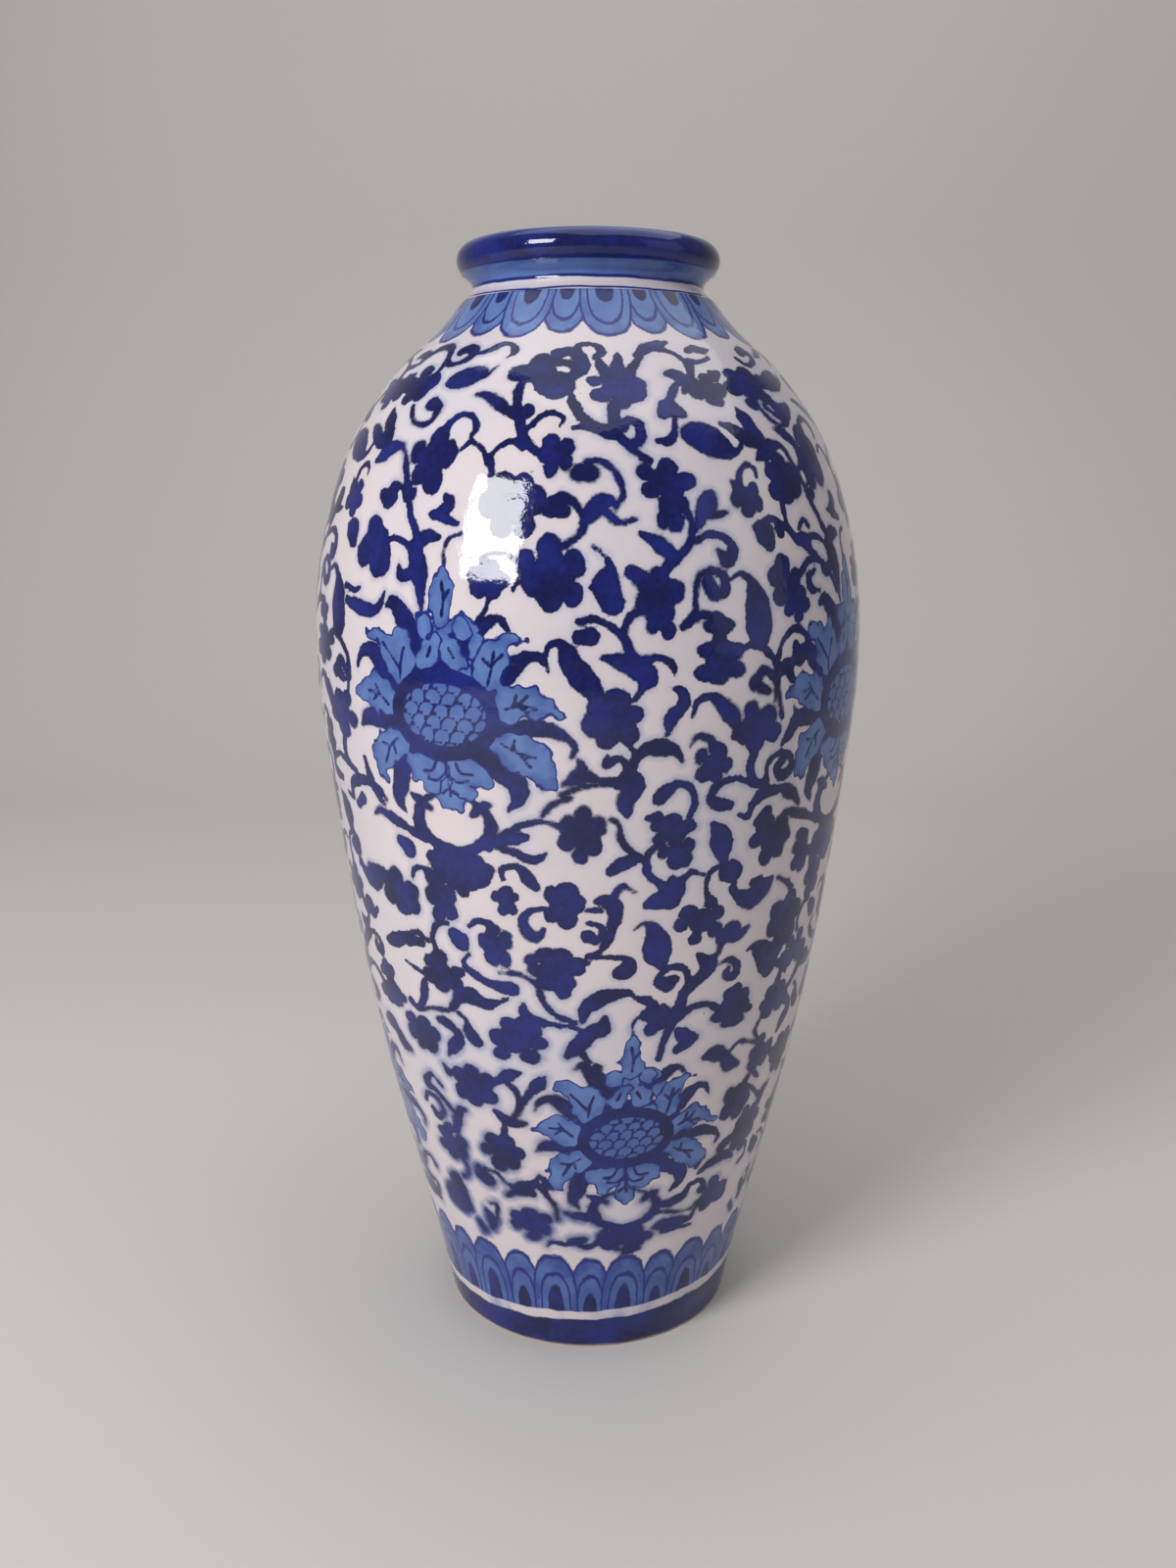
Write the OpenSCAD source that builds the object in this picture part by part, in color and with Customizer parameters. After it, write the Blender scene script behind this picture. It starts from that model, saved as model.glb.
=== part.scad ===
// Tall baluster jar in glazed ceramic, built up from thrown sections that are
// luted together with slip in stepped joints. Millimetres, +Z up, origin at
// the centre of the foot, on the surface that the jar stands on.

/* [Section heights] */
// Height of the foot ring, up to its joint with the lower wall
foot_h = 15; // [12:0.5:24]
// Height of the lower wall section
lower_h = 105; // [70:1:140]
// Height of the middle wall section
middle_h = 103; // [70:1:140]
// Height of the belly section, which holds the widest point
belly_h = 117; // [80:1:150]
// Height of the shoulder section, up to the root of the neck
shoulder_h = 88; // [70:1:120]
// Height of the neck collar, up to the underside of the rim
neck_h = 10.5; // [8:0.5:20]
// Height of the rolled rim
rim_h = 11.5; // [9:0.5:16]

/* [Outside diameters] */
// Diameter of the foot where it stands
foot_d = 125.8; // [104:0.2:152]
// Diameter at the top of the foot ring
ankle_d = 132; // [110:0.2:160]
// Diameter half way up the lower wall
skirt_d = 156.4; // [130:0.2:190]
// Diameter at the joint of the lower and the middle wall
lower_joint_d = 180.4; // [150:0.2:218]
// Diameter at the joint of the middle wall and the belly
middle_joint_d = 212.6; // [176:0.2:256]
// Widest diameter
belly_d = 225; // [186:0.2:272]
// Diameter at the joint of the belly and the shoulder
belly_joint_d = 214.6; // [178:0.2:258]
// Diameter half way up the shoulder
shoulder_d = 174.4; // [146:0.2:210]
// Diameter where the shoulder is steepest
slope_d = 146.4; // [122:0.2:176]
// Diameter where the shoulder starts to sweep up into the neck
crown_d = 119.2; // [108:0.2:144]
// Diameter at the root of the neck
neck_root_d = 101; // [90:0.2:122]
// Narrowest diameter of the neck
neck_d = 92; // [86:0.2:98]
// Diameter of the rolled rim
rim_d = 104.6; // [98:0.2:126]

/* [Places on the outside] */
// Height of the widest point above the joint below it
belly_rise = 69; // [40:1:78]
// Height of the shoulder's middle diameter above the joint below it
shoulder_rise = 48; // [35:1:56]
// Depth of the steepest diameter below the root of the neck
slope_drop = 23; // [18:0.5:30]
// Depth of the crown diameter below the root of the neck
crown_drop = 11; // [6:0.5:15]

/* [Walls] */
// Thickness of the walls, square to the surface
wall = 8; // [6.5:0.1:10]
// Diameter of the bore through the neck
mouth_d = 76; // [62:0.2:79]
// Thickness of the floor
floor_t = 10; // [8:0.1:12]
// Depth of the recess under the floor
recess_h = 9; // [7:0.1:11]
// Width of the foot ring where it stands
foot_w = 11; // [9:0.1:14]
// Bevel on both edges of the standing face
foot_bevel = 1.5; // [1:0.1:2.5]
// Width of the foot ring's ledge that the floor sits on
ledge_w = 6; // [4:0.1:8]

/* [Joints] */
// Height of the tongue in each stepped joint
lap_h = 5; // [4:0.1:7]
// Thickness of the slip in each joint
slip_t = 0.8; // [0.5:0.1:1.2]
// Distance that the slip is wiped back from the outside
slip_wipe = 0.6; // [0.4:0.1:1]
// Gap between the slip of the foot joint and the slip round the floor
slip_gap = 0.1; // [0.05:0.01:0.19]
// Width of the ledge where the shoulder's inside closes in to the bore
throat_w = 3; // [2.5:0.1:4]

/* [Hidden] */
// Sides of a round piece
round_fn = 180;
// Steps along each wall section and around the rim
wall_steps = 14;
rim_steps = 10;
neck_steps = 6;
// Half step in height for the slope of the outline
slope_dz = 0.5;
// Half thickness of the slip
slip_half = slip_t / 2;
// Radius of the rim's outer round as a share of its height: over a half, it tucks in below
rim_roundness = 0.56;
// Disc and recess of the floor, inside the foot ring
r_recess = foot_d / 2 - foot_w;
r_disc = r_recess + ledge_w;

// Heights of the joints
z_foot = foot_h;
z_lower = z_foot + lower_h;
z_middle = z_lower + middle_h;
z_belly = z_middle + belly_h;
z_neck = z_belly + shoulder_h;
z_rim = z_neck + neck_h;
z_top = z_rim + rim_h;

// The outline of the body: height and radius at each named diameter
STATIONS = [
    [0, foot_d / 2],
    [z_foot, ankle_d / 2],
    [z_foot + lower_h / 2, skirt_d / 2],
    [z_lower, lower_joint_d / 2],
    [z_middle, middle_joint_d / 2],
    [z_middle + belly_rise, belly_d / 2],
    [z_belly, belly_joint_d / 2],
    [z_belly + shoulder_rise, shoulder_d / 2],
    [z_neck - slope_drop, slope_d / 2],
    [z_neck - crown_drop, crown_d / 2],
    [z_neck, neck_root_d / 2]
];
LAST = len(STATIONS) - 1;

// A smooth curve through the stations, upright where the outline turns back
function rise(i) = STATIONS[i + 1][0] - STATIONS[i][0];
function chord(i) = (STATIONS[i + 1][1] - STATIONS[i][1]) / rise(i);
function turns_back(i) = chord(i - 1) * chord(i) <= 0;
function parabola_slope(i) = (rise(i) * chord(i - 1) + rise(i - 1) * chord(i)) / (rise(i) + rise(i - 1));
function station_slope(i) =
    i == 0 ? chord(0) : i == LAST ? chord(LAST - 1) : turns_back(i) ? 0 : parabola_slope(i);
function span_at(z, i = 0) = i >= LAST - 1 || z <= STATIONS[i + 1][0] ? i : span_at(z, i + 1);
function hermite(t, r0, m0, r1, m1) =
    (2 * t^3 - 3 * t^2 + 1) * r0 + (t^3 - 2 * t^2 + t) * m0
    + (3 * t^2 - 2 * t^3) * r1 + (t^3 - t^2) * m1;
function span_radius(z, i) =
    hermite((z - STATIONS[i][0]) / rise(i), STATIONS[i][1], station_slope(i) * rise(i),
            STATIONS[i + 1][1], station_slope(i + 1) * rise(i));
function outside(z) = span_radius(z, span_at(z));

// The inside follows the outside at the wall's thickness, never inside the bore
function slope(z) = (outside(min(z + slope_dz, z_neck)) - outside(z - slope_dz)) / (2 * slope_dz);
function inside(z) = max(mouth_d / 2, outside(z) - wall * sqrt(1 + slope(z)^2));

// Radius of the tongue's outer face at a joint
function tongue_r(z) = outside(z) - wall / 2;
neck_tongue_r = (mouth_d + neck_d) / 4;

function steps(a, b, n) = [for (i = [0 : n]) a + (b - a) * i / n];
function outside_line(a, b, n) = [for (z = steps(a, b, n)) [outside(z), z]];
function inside_line(a, b, n) = [for (z = steps(a, b, n)) [inside(z), z]];

// The rim's outer round, and the radius where it meets the neck
rim_round = rim_roundness * rim_h;
rim_mid_r = rim_d / 2 - rim_round;
rim_mid_z = z_top - rim_round;
rim_low_angle = -asin((rim_mid_z - z_rim - slip_half) / rim_round);
rim_foot_r = rim_mid_r + rim_round * cos(rim_low_angle);

// The neck narrows from its root to its waist and flares again under the rim
function neck_end_r(t) = t < 0.5 ? neck_root_d / 2 : rim_foot_r;
function neck_radius(t) = neck_d / 2 + (neck_end_r(t) - neck_d / 2) * (1 - sin(180 * t));
function neck_height(t) = z_neck + slip_half + t * (neck_h - slip_t);
NECK_LINE = [for (t = steps(0, 1, 2 * neck_steps)) [neck_radius(t), neck_height(t)]];

// A point of the rim's section, which is round outside and an ellipse inside
function rim_point(a, half_width) = [rim_mid_r + half_width * cos(a), rim_mid_z + rim_round * sin(a)];

// A round piece from its outline in radius and height
module turned(outline) {
    rotate_extrude($fn = round_fn)
        polygon(outline);
}

// A wall section between two stepped joints: a tongue above, a rebate below
module wall_section(z0, z1, r_low, r_high) {
    z_start = z0 + slip_half;
    z_end = z1 - slip_half;
    turned(concat(
        [[r_low + slip_t, z_start]],
        outside_line(z_start, z_end, wall_steps),
        [[r_high, z_end], [r_high, z_end + lap_h]],
        inside_line(z_end + lap_h, z_start + lap_h, wall_steps),
        [[r_low + slip_t, z_start + lap_h]]
    ));
}

// The slip that fills a stepped joint, wiped back from the outside
module slip_ring(z, r_tongue, r_out, r_in_top) {
    low = z - slip_half;
    high = z + slip_half;
    turned([
        [r_tongue, low], [r_out - slip_wipe, low], [r_out - slip_wipe, high],
        [r_tongue + slip_t, high], [r_tongue + slip_t, high + lap_h],
        [r_in_top, high + lap_h], [r_in_top, low + lap_h], [r_tongue, low + lap_h]
    ]);
}

// Ring that the jar stands on, with a ledge inside for the floor
module foot_ring() {
    r_ledge = r_disc + slip_t;
    z_end = z_foot - slip_half;
    color("midnightblue")
    turned(concat(
        [[r_recess + foot_bevel, 0], [foot_d / 2 - foot_bevel, 0]],
        outside_line(foot_bevel, z_end, neck_steps),
        [
            [tongue_r(z_foot), z_end], [tongue_r(z_foot), z_end + lap_h],
            [r_ledge, z_end + lap_h], [r_ledge, recess_h], [r_recess, recess_h],
            [r_recess, foot_bevel]
        ]
    ));
}

// Disc that closes the jar's bottom
module floor_disc() {
    color("whitesmoke")
    translate([0, 0, recess_h + slip_t])
        cylinder(h = floor_t, r = r_disc, $fn = round_fn);
}

// Thrown wall from the foot ring to the lower joint
module lower_wall() {
    color("lavender")
    wall_section(z_foot, z_lower, tongue_r(z_foot), tongue_r(z_lower));
}

// Thrown wall between the lower and the middle joint
module middle_wall() {
    color("ghostwhite")
    wall_section(z_lower, z_middle, tongue_r(z_lower), tongue_r(z_middle));
}

// Thrown wall with the widest point
module belly_wall() {
    color("lavender")
    wall_section(z_middle, z_belly, tongue_r(z_middle), tongue_r(z_belly));
}

// Thrown wall that closes in to the root of the neck
module shoulder_wall() {
    z_start = z_belly + slip_half;
    z_end = z_neck - slip_half;
    r_low = tongue_r(z_belly) + slip_t;
    color("ghostwhite")
    turned(concat(
        [[r_low, z_start]],
        outside_line(z_start, z_end, 2 * wall_steps),
        [[neck_tongue_r, z_end], [neck_tongue_r, z_end + lap_h], [mouth_d / 2, z_end + lap_h]],
        [[min(inside(z_end), mouth_d / 2 + throat_w), z_end]],
        inside_line(z_end - (z_end - z_start - lap_h) / (2 * wall_steps), z_start + lap_h, 2 * wall_steps - 1),
        [[r_low, z_start + lap_h]]
    ));
}

// Short collar with the bore of the mouth
module neck_collar() {
    z_start = z_neck + slip_half;
    z_end = z_rim - slip_half;
    r_low = neck_tongue_r + slip_t;
    color("cornflowerblue")
    turned(concat(
        [[r_low, z_start]],
        NECK_LINE,
        [
            [neck_tongue_r, z_end], [neck_tongue_r, z_end + lap_h / 2],
            [mouth_d / 2, z_end + lap_h / 2], [mouth_d / 2, z_start + lap_h], [r_low, z_start + lap_h]
        ]
    ));
}

// Coil rolled over to make the rounded rim
module rolled_rim() {
    z_start = z_rim + slip_half;
    z_groove = z_start + lap_h / 2;
    inner_round = rim_mid_r - mouth_d / 2;
    color("darkblue")
    turned(concat(
        [for (a = steps(rim_low_angle, 90, 2 * rim_steps)) rim_point(a, rim_round)],
        [for (a = steps(90, 180, rim_steps)) rim_point(a, inner_round)],
        [[mouth_d / 2, z_groove], [neck_tongue_r + slip_t, z_groove], [neck_tongue_r + slip_t, z_start]]
    ));
}

// Slip around and under the floor disc
module slip_floor() {
    color("linen")
    turned([
        [r_recess + slip_wipe, recess_h], [r_disc + slip_t, recess_h],
        [r_disc + slip_t, recess_h + slip_t + floor_t], [r_disc, recess_h + slip_t + floor_t],
        [r_disc, recess_h + slip_t], [r_recess + slip_wipe, recess_h + slip_t]
    ]);
}

// Slip between two wall sections
module slip_at(z) {
    color("linen")
    slip_ring(z, tongue_r(z), outside(z), inside(z + lap_h));
}

// Slip between the foot ring and the lower wall, clear of the slip round the floor
module slip_foot() {
    r_floor = r_disc + slip_t + slip_gap;
    color("linen")
    slip_ring(z_foot, tongue_r(z_foot), outside(z_foot), max(inside(z_foot + lap_h), r_floor));
}

// Slip between the shoulder and the collar
module slip_neck() {
    color("linen")
    slip_ring(z_neck, neck_tongue_r, neck_root_d / 2, mouth_d / 2);
}

// Slip between the collar and the rim
module slip_rim() {
    low = z_rim - slip_half;
    high = z_rim + slip_half;
    r_out = rim_foot_r - slip_wipe;
    color("linen")
    turned([
        [neck_tongue_r, low], [r_out, low], [r_out, high],
        [neck_tongue_r + slip_t, high], [neck_tongue_r + slip_t, high + lap_h / 2],
        [mouth_d / 2, high + lap_h / 2], [mouth_d / 2, low + lap_h / 2], [neck_tongue_r, low + lap_h / 2]
    ]);
}

foot_ring();
floor_disc();
lower_wall();
middle_wall();
belly_wall();
shoulder_wall();
neck_collar();
rolled_rim();
slip_floor();
slip_foot();
slip_at(z_lower);  // slip_lower
slip_at(z_middle);  // slip_middle
slip_at(z_belly);  // slip_belly
slip_neck();
slip_rim();
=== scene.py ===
"""Looks of a tall blue and white baluster jar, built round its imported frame.

The jar is thrown in sections that are luted together. Each section becomes one
turned piece with its own painted skin. The painting is laid on a canvas that is
wrapped round the jar: every bloom, scroll, petal and border is worked out there
as a distance in millimetres from its edge, and the glaze reads those distances
to draw crisp brush edges, outlines and washes.
"""

import logging
import math
from dataclasses import dataclass, field
from enum import Enum
from typing import ClassVar, Sequence

import bpy
import numpy as np
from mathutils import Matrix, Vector


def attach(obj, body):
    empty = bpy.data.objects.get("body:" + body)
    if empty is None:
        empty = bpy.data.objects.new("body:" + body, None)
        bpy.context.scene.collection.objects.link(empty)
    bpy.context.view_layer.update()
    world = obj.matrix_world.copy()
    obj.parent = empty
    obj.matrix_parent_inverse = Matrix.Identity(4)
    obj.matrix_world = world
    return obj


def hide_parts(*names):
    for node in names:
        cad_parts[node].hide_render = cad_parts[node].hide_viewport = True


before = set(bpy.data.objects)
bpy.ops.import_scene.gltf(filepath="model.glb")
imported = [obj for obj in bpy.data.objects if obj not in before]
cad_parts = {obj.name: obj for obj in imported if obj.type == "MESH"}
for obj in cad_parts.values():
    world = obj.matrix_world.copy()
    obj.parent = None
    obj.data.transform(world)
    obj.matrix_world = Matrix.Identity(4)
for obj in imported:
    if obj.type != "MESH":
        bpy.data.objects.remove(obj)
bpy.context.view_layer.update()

LOG = logging.getLogger("jar")
MM = 0.001
# points round each wall, and the distance in millimetres that a blank layer holds
COLUMNS = 840
FAR = 10.0
TURN = 2 * math.pi
QUARTERS = 4
FULL_DEG = 360
QUARTER_DEG = FULL_DEG / QUARTERS
BAKE_MAP = "OFBake"
ROW_MARK = "row"

Point = tuple[float, float, float]
Path = tuple[Point, ...]
Colour = tuple[float, float, float]
Near = tuple[np.ndarray, np.ndarray, np.ndarray, np.ndarray]
Socket = bpy.types.NodeSocket
Value = Socket | float


class Layer(Enum):
    """The painted layers, each a named attribute on a piece."""

    INK = "ink"
    OVER = "over"
    PETAL_FRONT = "petal_front"
    PETAL_MIDDLE = "petal_middle"
    PETAL_BACK = "petal_back"
    SEED = "seed"
    LAPPET_FRONT = "lappet_front"
    LAPPET_BACK = "lappet_back"
    TONE = "tone"
    BLEED = "bleed"


SOFT_LAYERS = (Layer.TONE, Layer.BLEED)


@dataclass(frozen=True)
class Outline:
    """The jar's outside, in millimetres.

    Args:
        stations: Heights and outside radii, from the foot up.
        wall: Thickness of the wall.
        mouth_r: Radius of the bore.
        reach: How far up and down the wall's lean is measured.
    """

    stations: tuple[tuple[float, float], ...] = (
        (0, 62.9), (15, 66), (67.5, 78.2), (120, 90.2), (223, 106.3), (292, 112.5),
        (340, 107.3), (388, 87.2), (405, 73.2), (417, 59.6), (428, 50.5),
    )
    wall: float = 8.0
    mouth_r: float = 38.0
    reach: float = 0.5

    def _chord(self, i: int) -> float:
        """Return the mean slope of span i."""
        (z0, r0), (z1, r1) = self.stations[i], self.stations[i + 1]
        return (r1 - r0) / (z1 - z0)

    def _rise(self, i: int) -> float:
        """Return the height of span i."""
        return self.stations[i + 1][0] - self.stations[i][0]

    def _slope(self, i: int) -> float:
        """Return the slope at a station, upright where the outline turns back.

        Args:
            i: Number of the station.

        Returns:
            Change of radius with height.
        """
        last = len(self.stations) - 1
        if i == 0:
            return self._chord(0)
        if i == last:
            return self._chord(last - 1)
        below, above = self._chord(i - 1), self._chord(i)
        if below * above <= 0:
            return 0.0
        h0, h1 = self._rise(i - 1), self._rise(i)
        return (h1 * below + h0 * above) / (h0 + h1)

    def radius(self, z: float) -> float:
        """Return the outside radius at a height, on a smooth curve through the stations.

        Args:
            z: The height.

        Returns:
            The radius.
        """
        i = 0
        while i < len(self.stations) - 2 and z > self.stations[i + 1][0]:
            i += 1
        (z0, r0), (_, r1) = self.stations[i], self.stations[i + 1]
        h = self._rise(i)
        t = (z - z0) / h
        m0, m1 = self._slope(i) * h, self._slope(i + 1) * h
        return ((2 * t**3 - 3 * t**2 + 1) * r0 + (t**3 - 2 * t**2 + t) * m0
                + (3 * t**2 - 2 * t**3) * r1 + (t**3 - t**2) * m1)

    def inside(self, z: float) -> float:
        """Return the inside radius at a height, never under the bore's."""
        top = self.stations[-1][0]
        slope = self.radius(min(z + self.reach, top)) - self.radius(z - self.reach)
        return max(self.mouth_r, self.radius(z) - self.wall * math.hypot(1, slope))


@dataclass
class Canvas:
    """The painted ground: rows of heights round the whole jar.

    Args:
        heights: Height of each row in millimetres, rising.
        radii: Radius of each row in millimetres.
    """

    heights: np.ndarray
    radii: np.ndarray
    arcs: np.ndarray = field(init=False)
    layers: dict[Layer, np.ndarray] = field(default_factory=dict)

    def __post_init__(self) -> None:
        """Measure the way up the skin and lay blank layers."""
        steps = np.hypot(np.diff(self.heights), np.diff(self.radii))
        self.arcs = np.concatenate([[0.0], np.cumsum(steps)])
        for layer in Layer:
            self.layers[layer] = np.full((len(self.heights), COLUMNS), self.blank(layer), np.float32)

    @staticmethod
    def blank(layer: Layer) -> float:
        """Return what a layer holds where nothing is painted."""
        return 0.0 if layer in SOFT_LAYERS else FAR

    def angles(self) -> np.ndarray:
        """Return the angle of each column in radians."""
        return np.arange(COLUMNS) * TURN / COLUMNS

    def around(self, angles: np.ndarray, heights: np.ndarray, reach: float) -> Near:
        """Find the rows and columns near some points.

        Args:
            angles: Angles of the points in radians.
            heights: Heights of the points in millimetres.
            reach: How far round the points to look, in millimetres.

        Returns:
            Rows, columns, the columns' angles and the points' arcs.
        """
        arcs = np.interp(heights, self.heights, self.arcs)
        near = (self.arcs >= arcs.min() - reach) & (self.arcs <= arcs.max() + reach)
        rows = np.nonzero(near)[0]
        step = TURN / COLUMNS
        margin = reach / self.radii[rows].min()
        first = math.floor((angles.min() - margin) / step)
        last = math.ceil((angles.max() + margin) / step)
        columns = np.arange(first, last + 1)
        return rows, columns, columns * step, arcs

    def lay(self, layer: Layer, rows: np.ndarray, columns: np.ndarray, shape: np.ndarray,
            tone: float | None = None) -> None:
        """Add a shape to a layer, keeping the nearest edge.

        Args:
            layer: The layer to paint on.
            rows: Rows of the shape.
            columns: Columns of the shape.
            shape: Distance from the shape's edge, negative inside.
            tone: Strength of the paint, or None to leave the tone.
        """
        place = np.ix_(rows, columns % COLUMNS)
        shape = shape.astype(np.float32)
        old = self.layers[layer][place]
        if tone is not None:
            tones = self.layers[Layer.TONE]
            tones[place] = np.where(shape < old, tone, tones[place])
        self.layers[layer][place] = np.minimum(old, shape)


@dataclass(frozen=True)
class BloomShape:
    """The shape that every bloom starts from.

    Args:
        size: Width in millimetres before it is stretched.
        heart: Radius of the round heart.
        fullness: Size of the lobes, 1 where neighbours just touch.
        sway: How far a lobe may turn aside, as a share of its step.
        lobe: Smallest and largest lobe.
        reach: Shortest and longest reach of a lobe.
        narrow: Widest and narrowest lobe.
    """

    size: float = 22.0
    heart: float = 6.4
    fullness: float = 1.12
    sway: float = 0.2
    lobe: tuple[float, float] = (0.8, 1.2)
    reach: tuple[float, float] = (0.94, 1.16)
    narrow: tuple[float, float] = (0.88, 1.08)


class Brush:
    """Lays strokes, blooms, scales and ovals on a canvas."""

    form = BloomShape()
    # how far outside a shape its distances are kept, and the finest half width, in millimetres
    pad = 4.0
    finest = 0.35
    # seed scales: their half width and height and their shift in steps, and the gap between them
    scale_wide = 0.53
    scale_tall = 0.85
    scale_shift = 0.5
    scale_gap = 0.95
    # longest fading of an oval, for each millimetre of its shorter half
    oval_limit = 1.2

    def __init__(self, canvas: Canvas, seed: int) -> None:
        """Take up the brush.

        Args:
            canvas: The canvas to paint on.
            seed: Seed of the hand's small changes.
        """
        self.canvas = canvas
        self.rng = np.random.default_rng(seed)

    @staticmethod
    def smooth(path: Sequence[Point], steps: int = 12) -> np.ndarray:
        """Return points on a smooth curve through a path.

        Args:
            path: Angle, height and half width at each point.
            steps: Points from one to the next.

        Returns:
            The curve's points, one row each.
        """
        p = np.asarray(path, float)
        t = np.linspace(0, 1, steps, endpoint=False)[:, None]
        ends = np.vstack([2 * p[0] - p[1], p, 2 * p[-1] - p[-2]])
        parts = []
        for a, b, c, d in zip(ends, ends[1:], ends[2:], ends[3:]):
            parts.append(0.5 * (2 * b + (c - a) * t + (2 * a - 5 * b + 4 * c - d) * t**2
                                + (3 * b - a - 3 * c + d) * t**3))
        return np.vstack([*parts, p[-1:]])

    def stroke(self, layer: Layer, path: Sequence[Point], tone: float | None = None) -> None:
        """Paint one stroke whose width follows the pressure of the brush.

        Args:
            layer: The layer to paint on.
            path: Angle in degrees, height and half width in millimetres.
            tone: Strength of the paint.
        """
        curve = self.smooth(path)
        angles = np.radians(curve[:, 0])
        widths = np.maximum(curve[:, 2], self.finest)
        rows, columns, at, arcs = self.canvas.around(angles, curve[:, 1], self.pad + widths.max())
        radii = self.canvas.radii[rows][:, None]
        ups = self.canvas.arcs[rows][:, None]
        shape = np.full((len(rows), len(columns)), FAR, np.float32)
        for angle, arc, width in zip(angles, arcs, widths):
            np.minimum(shape, np.hypot(radii * (at - angle), ups - arc) - width, out=shape)
        self.canvas.lay(layer, rows, columns, shape, tone)

    def local(self, angle: float, height: float, reach: float) -> Near:
        """Return the canvas near a point in millimetres across and up.

        Args:
            angle: Angle of the point in degrees.
            height: Height of the point in millimetres.
            reach: How far round it to look.

        Returns:
            Rows, columns, and the distances across and up.
        """
        centre = math.radians(angle)
        rows, columns, at, arcs = self.canvas.around(np.array([centre]), np.array([height]), reach)
        across = self.canvas.radii[rows][:, None] * (at - centre)
        up = np.broadcast_to((self.canvas.arcs[rows] - arcs[0])[:, None], across.shape)
        return rows, columns, across, up

    def bloom(self, place: tuple[float, ...], tone: float) -> None:
        """Paint one flower of round lobes.

        Args:
            place: Angle, height, width, height of the bloom, turn and lobes.
            tone: Strength of the paint.
        """
        angle, height, width, tall, turn, lobes = place
        rows, columns, across, up = self.local(angle, height, self.pad + max(width, tall) / 2)
        form = self.form
        size = form.size
        x, y = across * size / width, up * size / tall
        reach = size / 2
        shape = np.hypot(x, y) - form.heart
        widest = reach * form.fullness * math.sin(math.pi / lobes) / (1 + math.sin(math.pi / lobes))
        for i in range(int(lobes)):
            way = math.radians(turn) + TURN * (i + self.rng.uniform(-form.sway, form.sway)) / lobes
            lobe = widest * self.rng.uniform(*form.lobe)
            out = reach * self.rng.uniform(*form.reach) - lobe
            narrow = self.rng.uniform(*form.narrow)
            dx, dy = x - out * math.cos(way), y - out * math.sin(way)
            along = dx * math.cos(way) + dy * math.sin(way)
            aside = dy * math.cos(way) - dx * math.sin(way)
            shape = np.minimum(shape, np.hypot(along, aside * narrow) - lobe)
        scale = (width + tall) / (2 * size)
        self.canvas.lay(Layer.INK, rows, columns, shape * scale, tone)

    def scales(self, centre: tuple[float, float], bed: tuple[float, float],
               size: tuple[float, float]) -> None:
        """Paint rows of scales in an oval bed, each row over the one above.

        Args:
            centre: Angle and height of the bed's middle.
            bed: The bed's half width and half height.
            size: Step from scale to scale across and up.
        """
        rows, columns, across, up = self.local(*centre, self.pad + max(bed))
        shape = np.full(across.shape, FAR, np.float32)
        levels, places = int(bed[1] / size[1]) + 1, int(bed[0] / size[0]) + 1
        for level in range(levels, -levels - 1, -1):
            for spot in range(-places, places + 1):
                place = (spot + level % 2 / 2) * size[0], level * size[1]
                x, y = self.rng.uniform(-self.scale_shift, self.scale_shift, 2) + place
                reach = np.hypot((across - x) / (self.scale_wide * size[0]),
                                 (up - y) / (self.scale_tall * size[1]))
                scale = (reach - 1) * size[0] / 2
                shape = np.where(scale < self.scale_gap, scale, shape)
        edge = (np.hypot(across / bed[0], up / bed[1]) - 1) * min(bed)
        self.canvas.lay(Layer.SEED, rows, columns, np.maximum(shape, edge))

    def oval(self, layer: Layer, place: tuple[float, ...], hollow: tuple[float, ...] | None = None,
             tone: float | None = None) -> None:
        """Paint an oval, or a ring when it has a hollow.

        Args:
            layer: The layer to paint on.
            place: Angle, height, half width and half height.
            hollow: The hollow's shift across and up, half width and half height.
            tone: Strength of the paint.
        """
        angle, height, wide, tall = place
        rows, columns, across, up = self.local(angle, height, self.pad + max(wide, tall))
        mean = (wide + tall) / 2
        shape = (np.hypot(across / wide, up / tall) - 1) * min(mean, self.oval_limit * min(wide, tall))
        if hollow is not None:
            dx, dy, inner_w, inner_h = hollow
            inner = (np.hypot((across - dx) / inner_w, (up - dy) / inner_h) - 1) * min(inner_w, inner_h)
            shape = np.maximum(shape, -inner)
        self.canvas.lay(layer, rows, columns, shape, tone)


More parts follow.
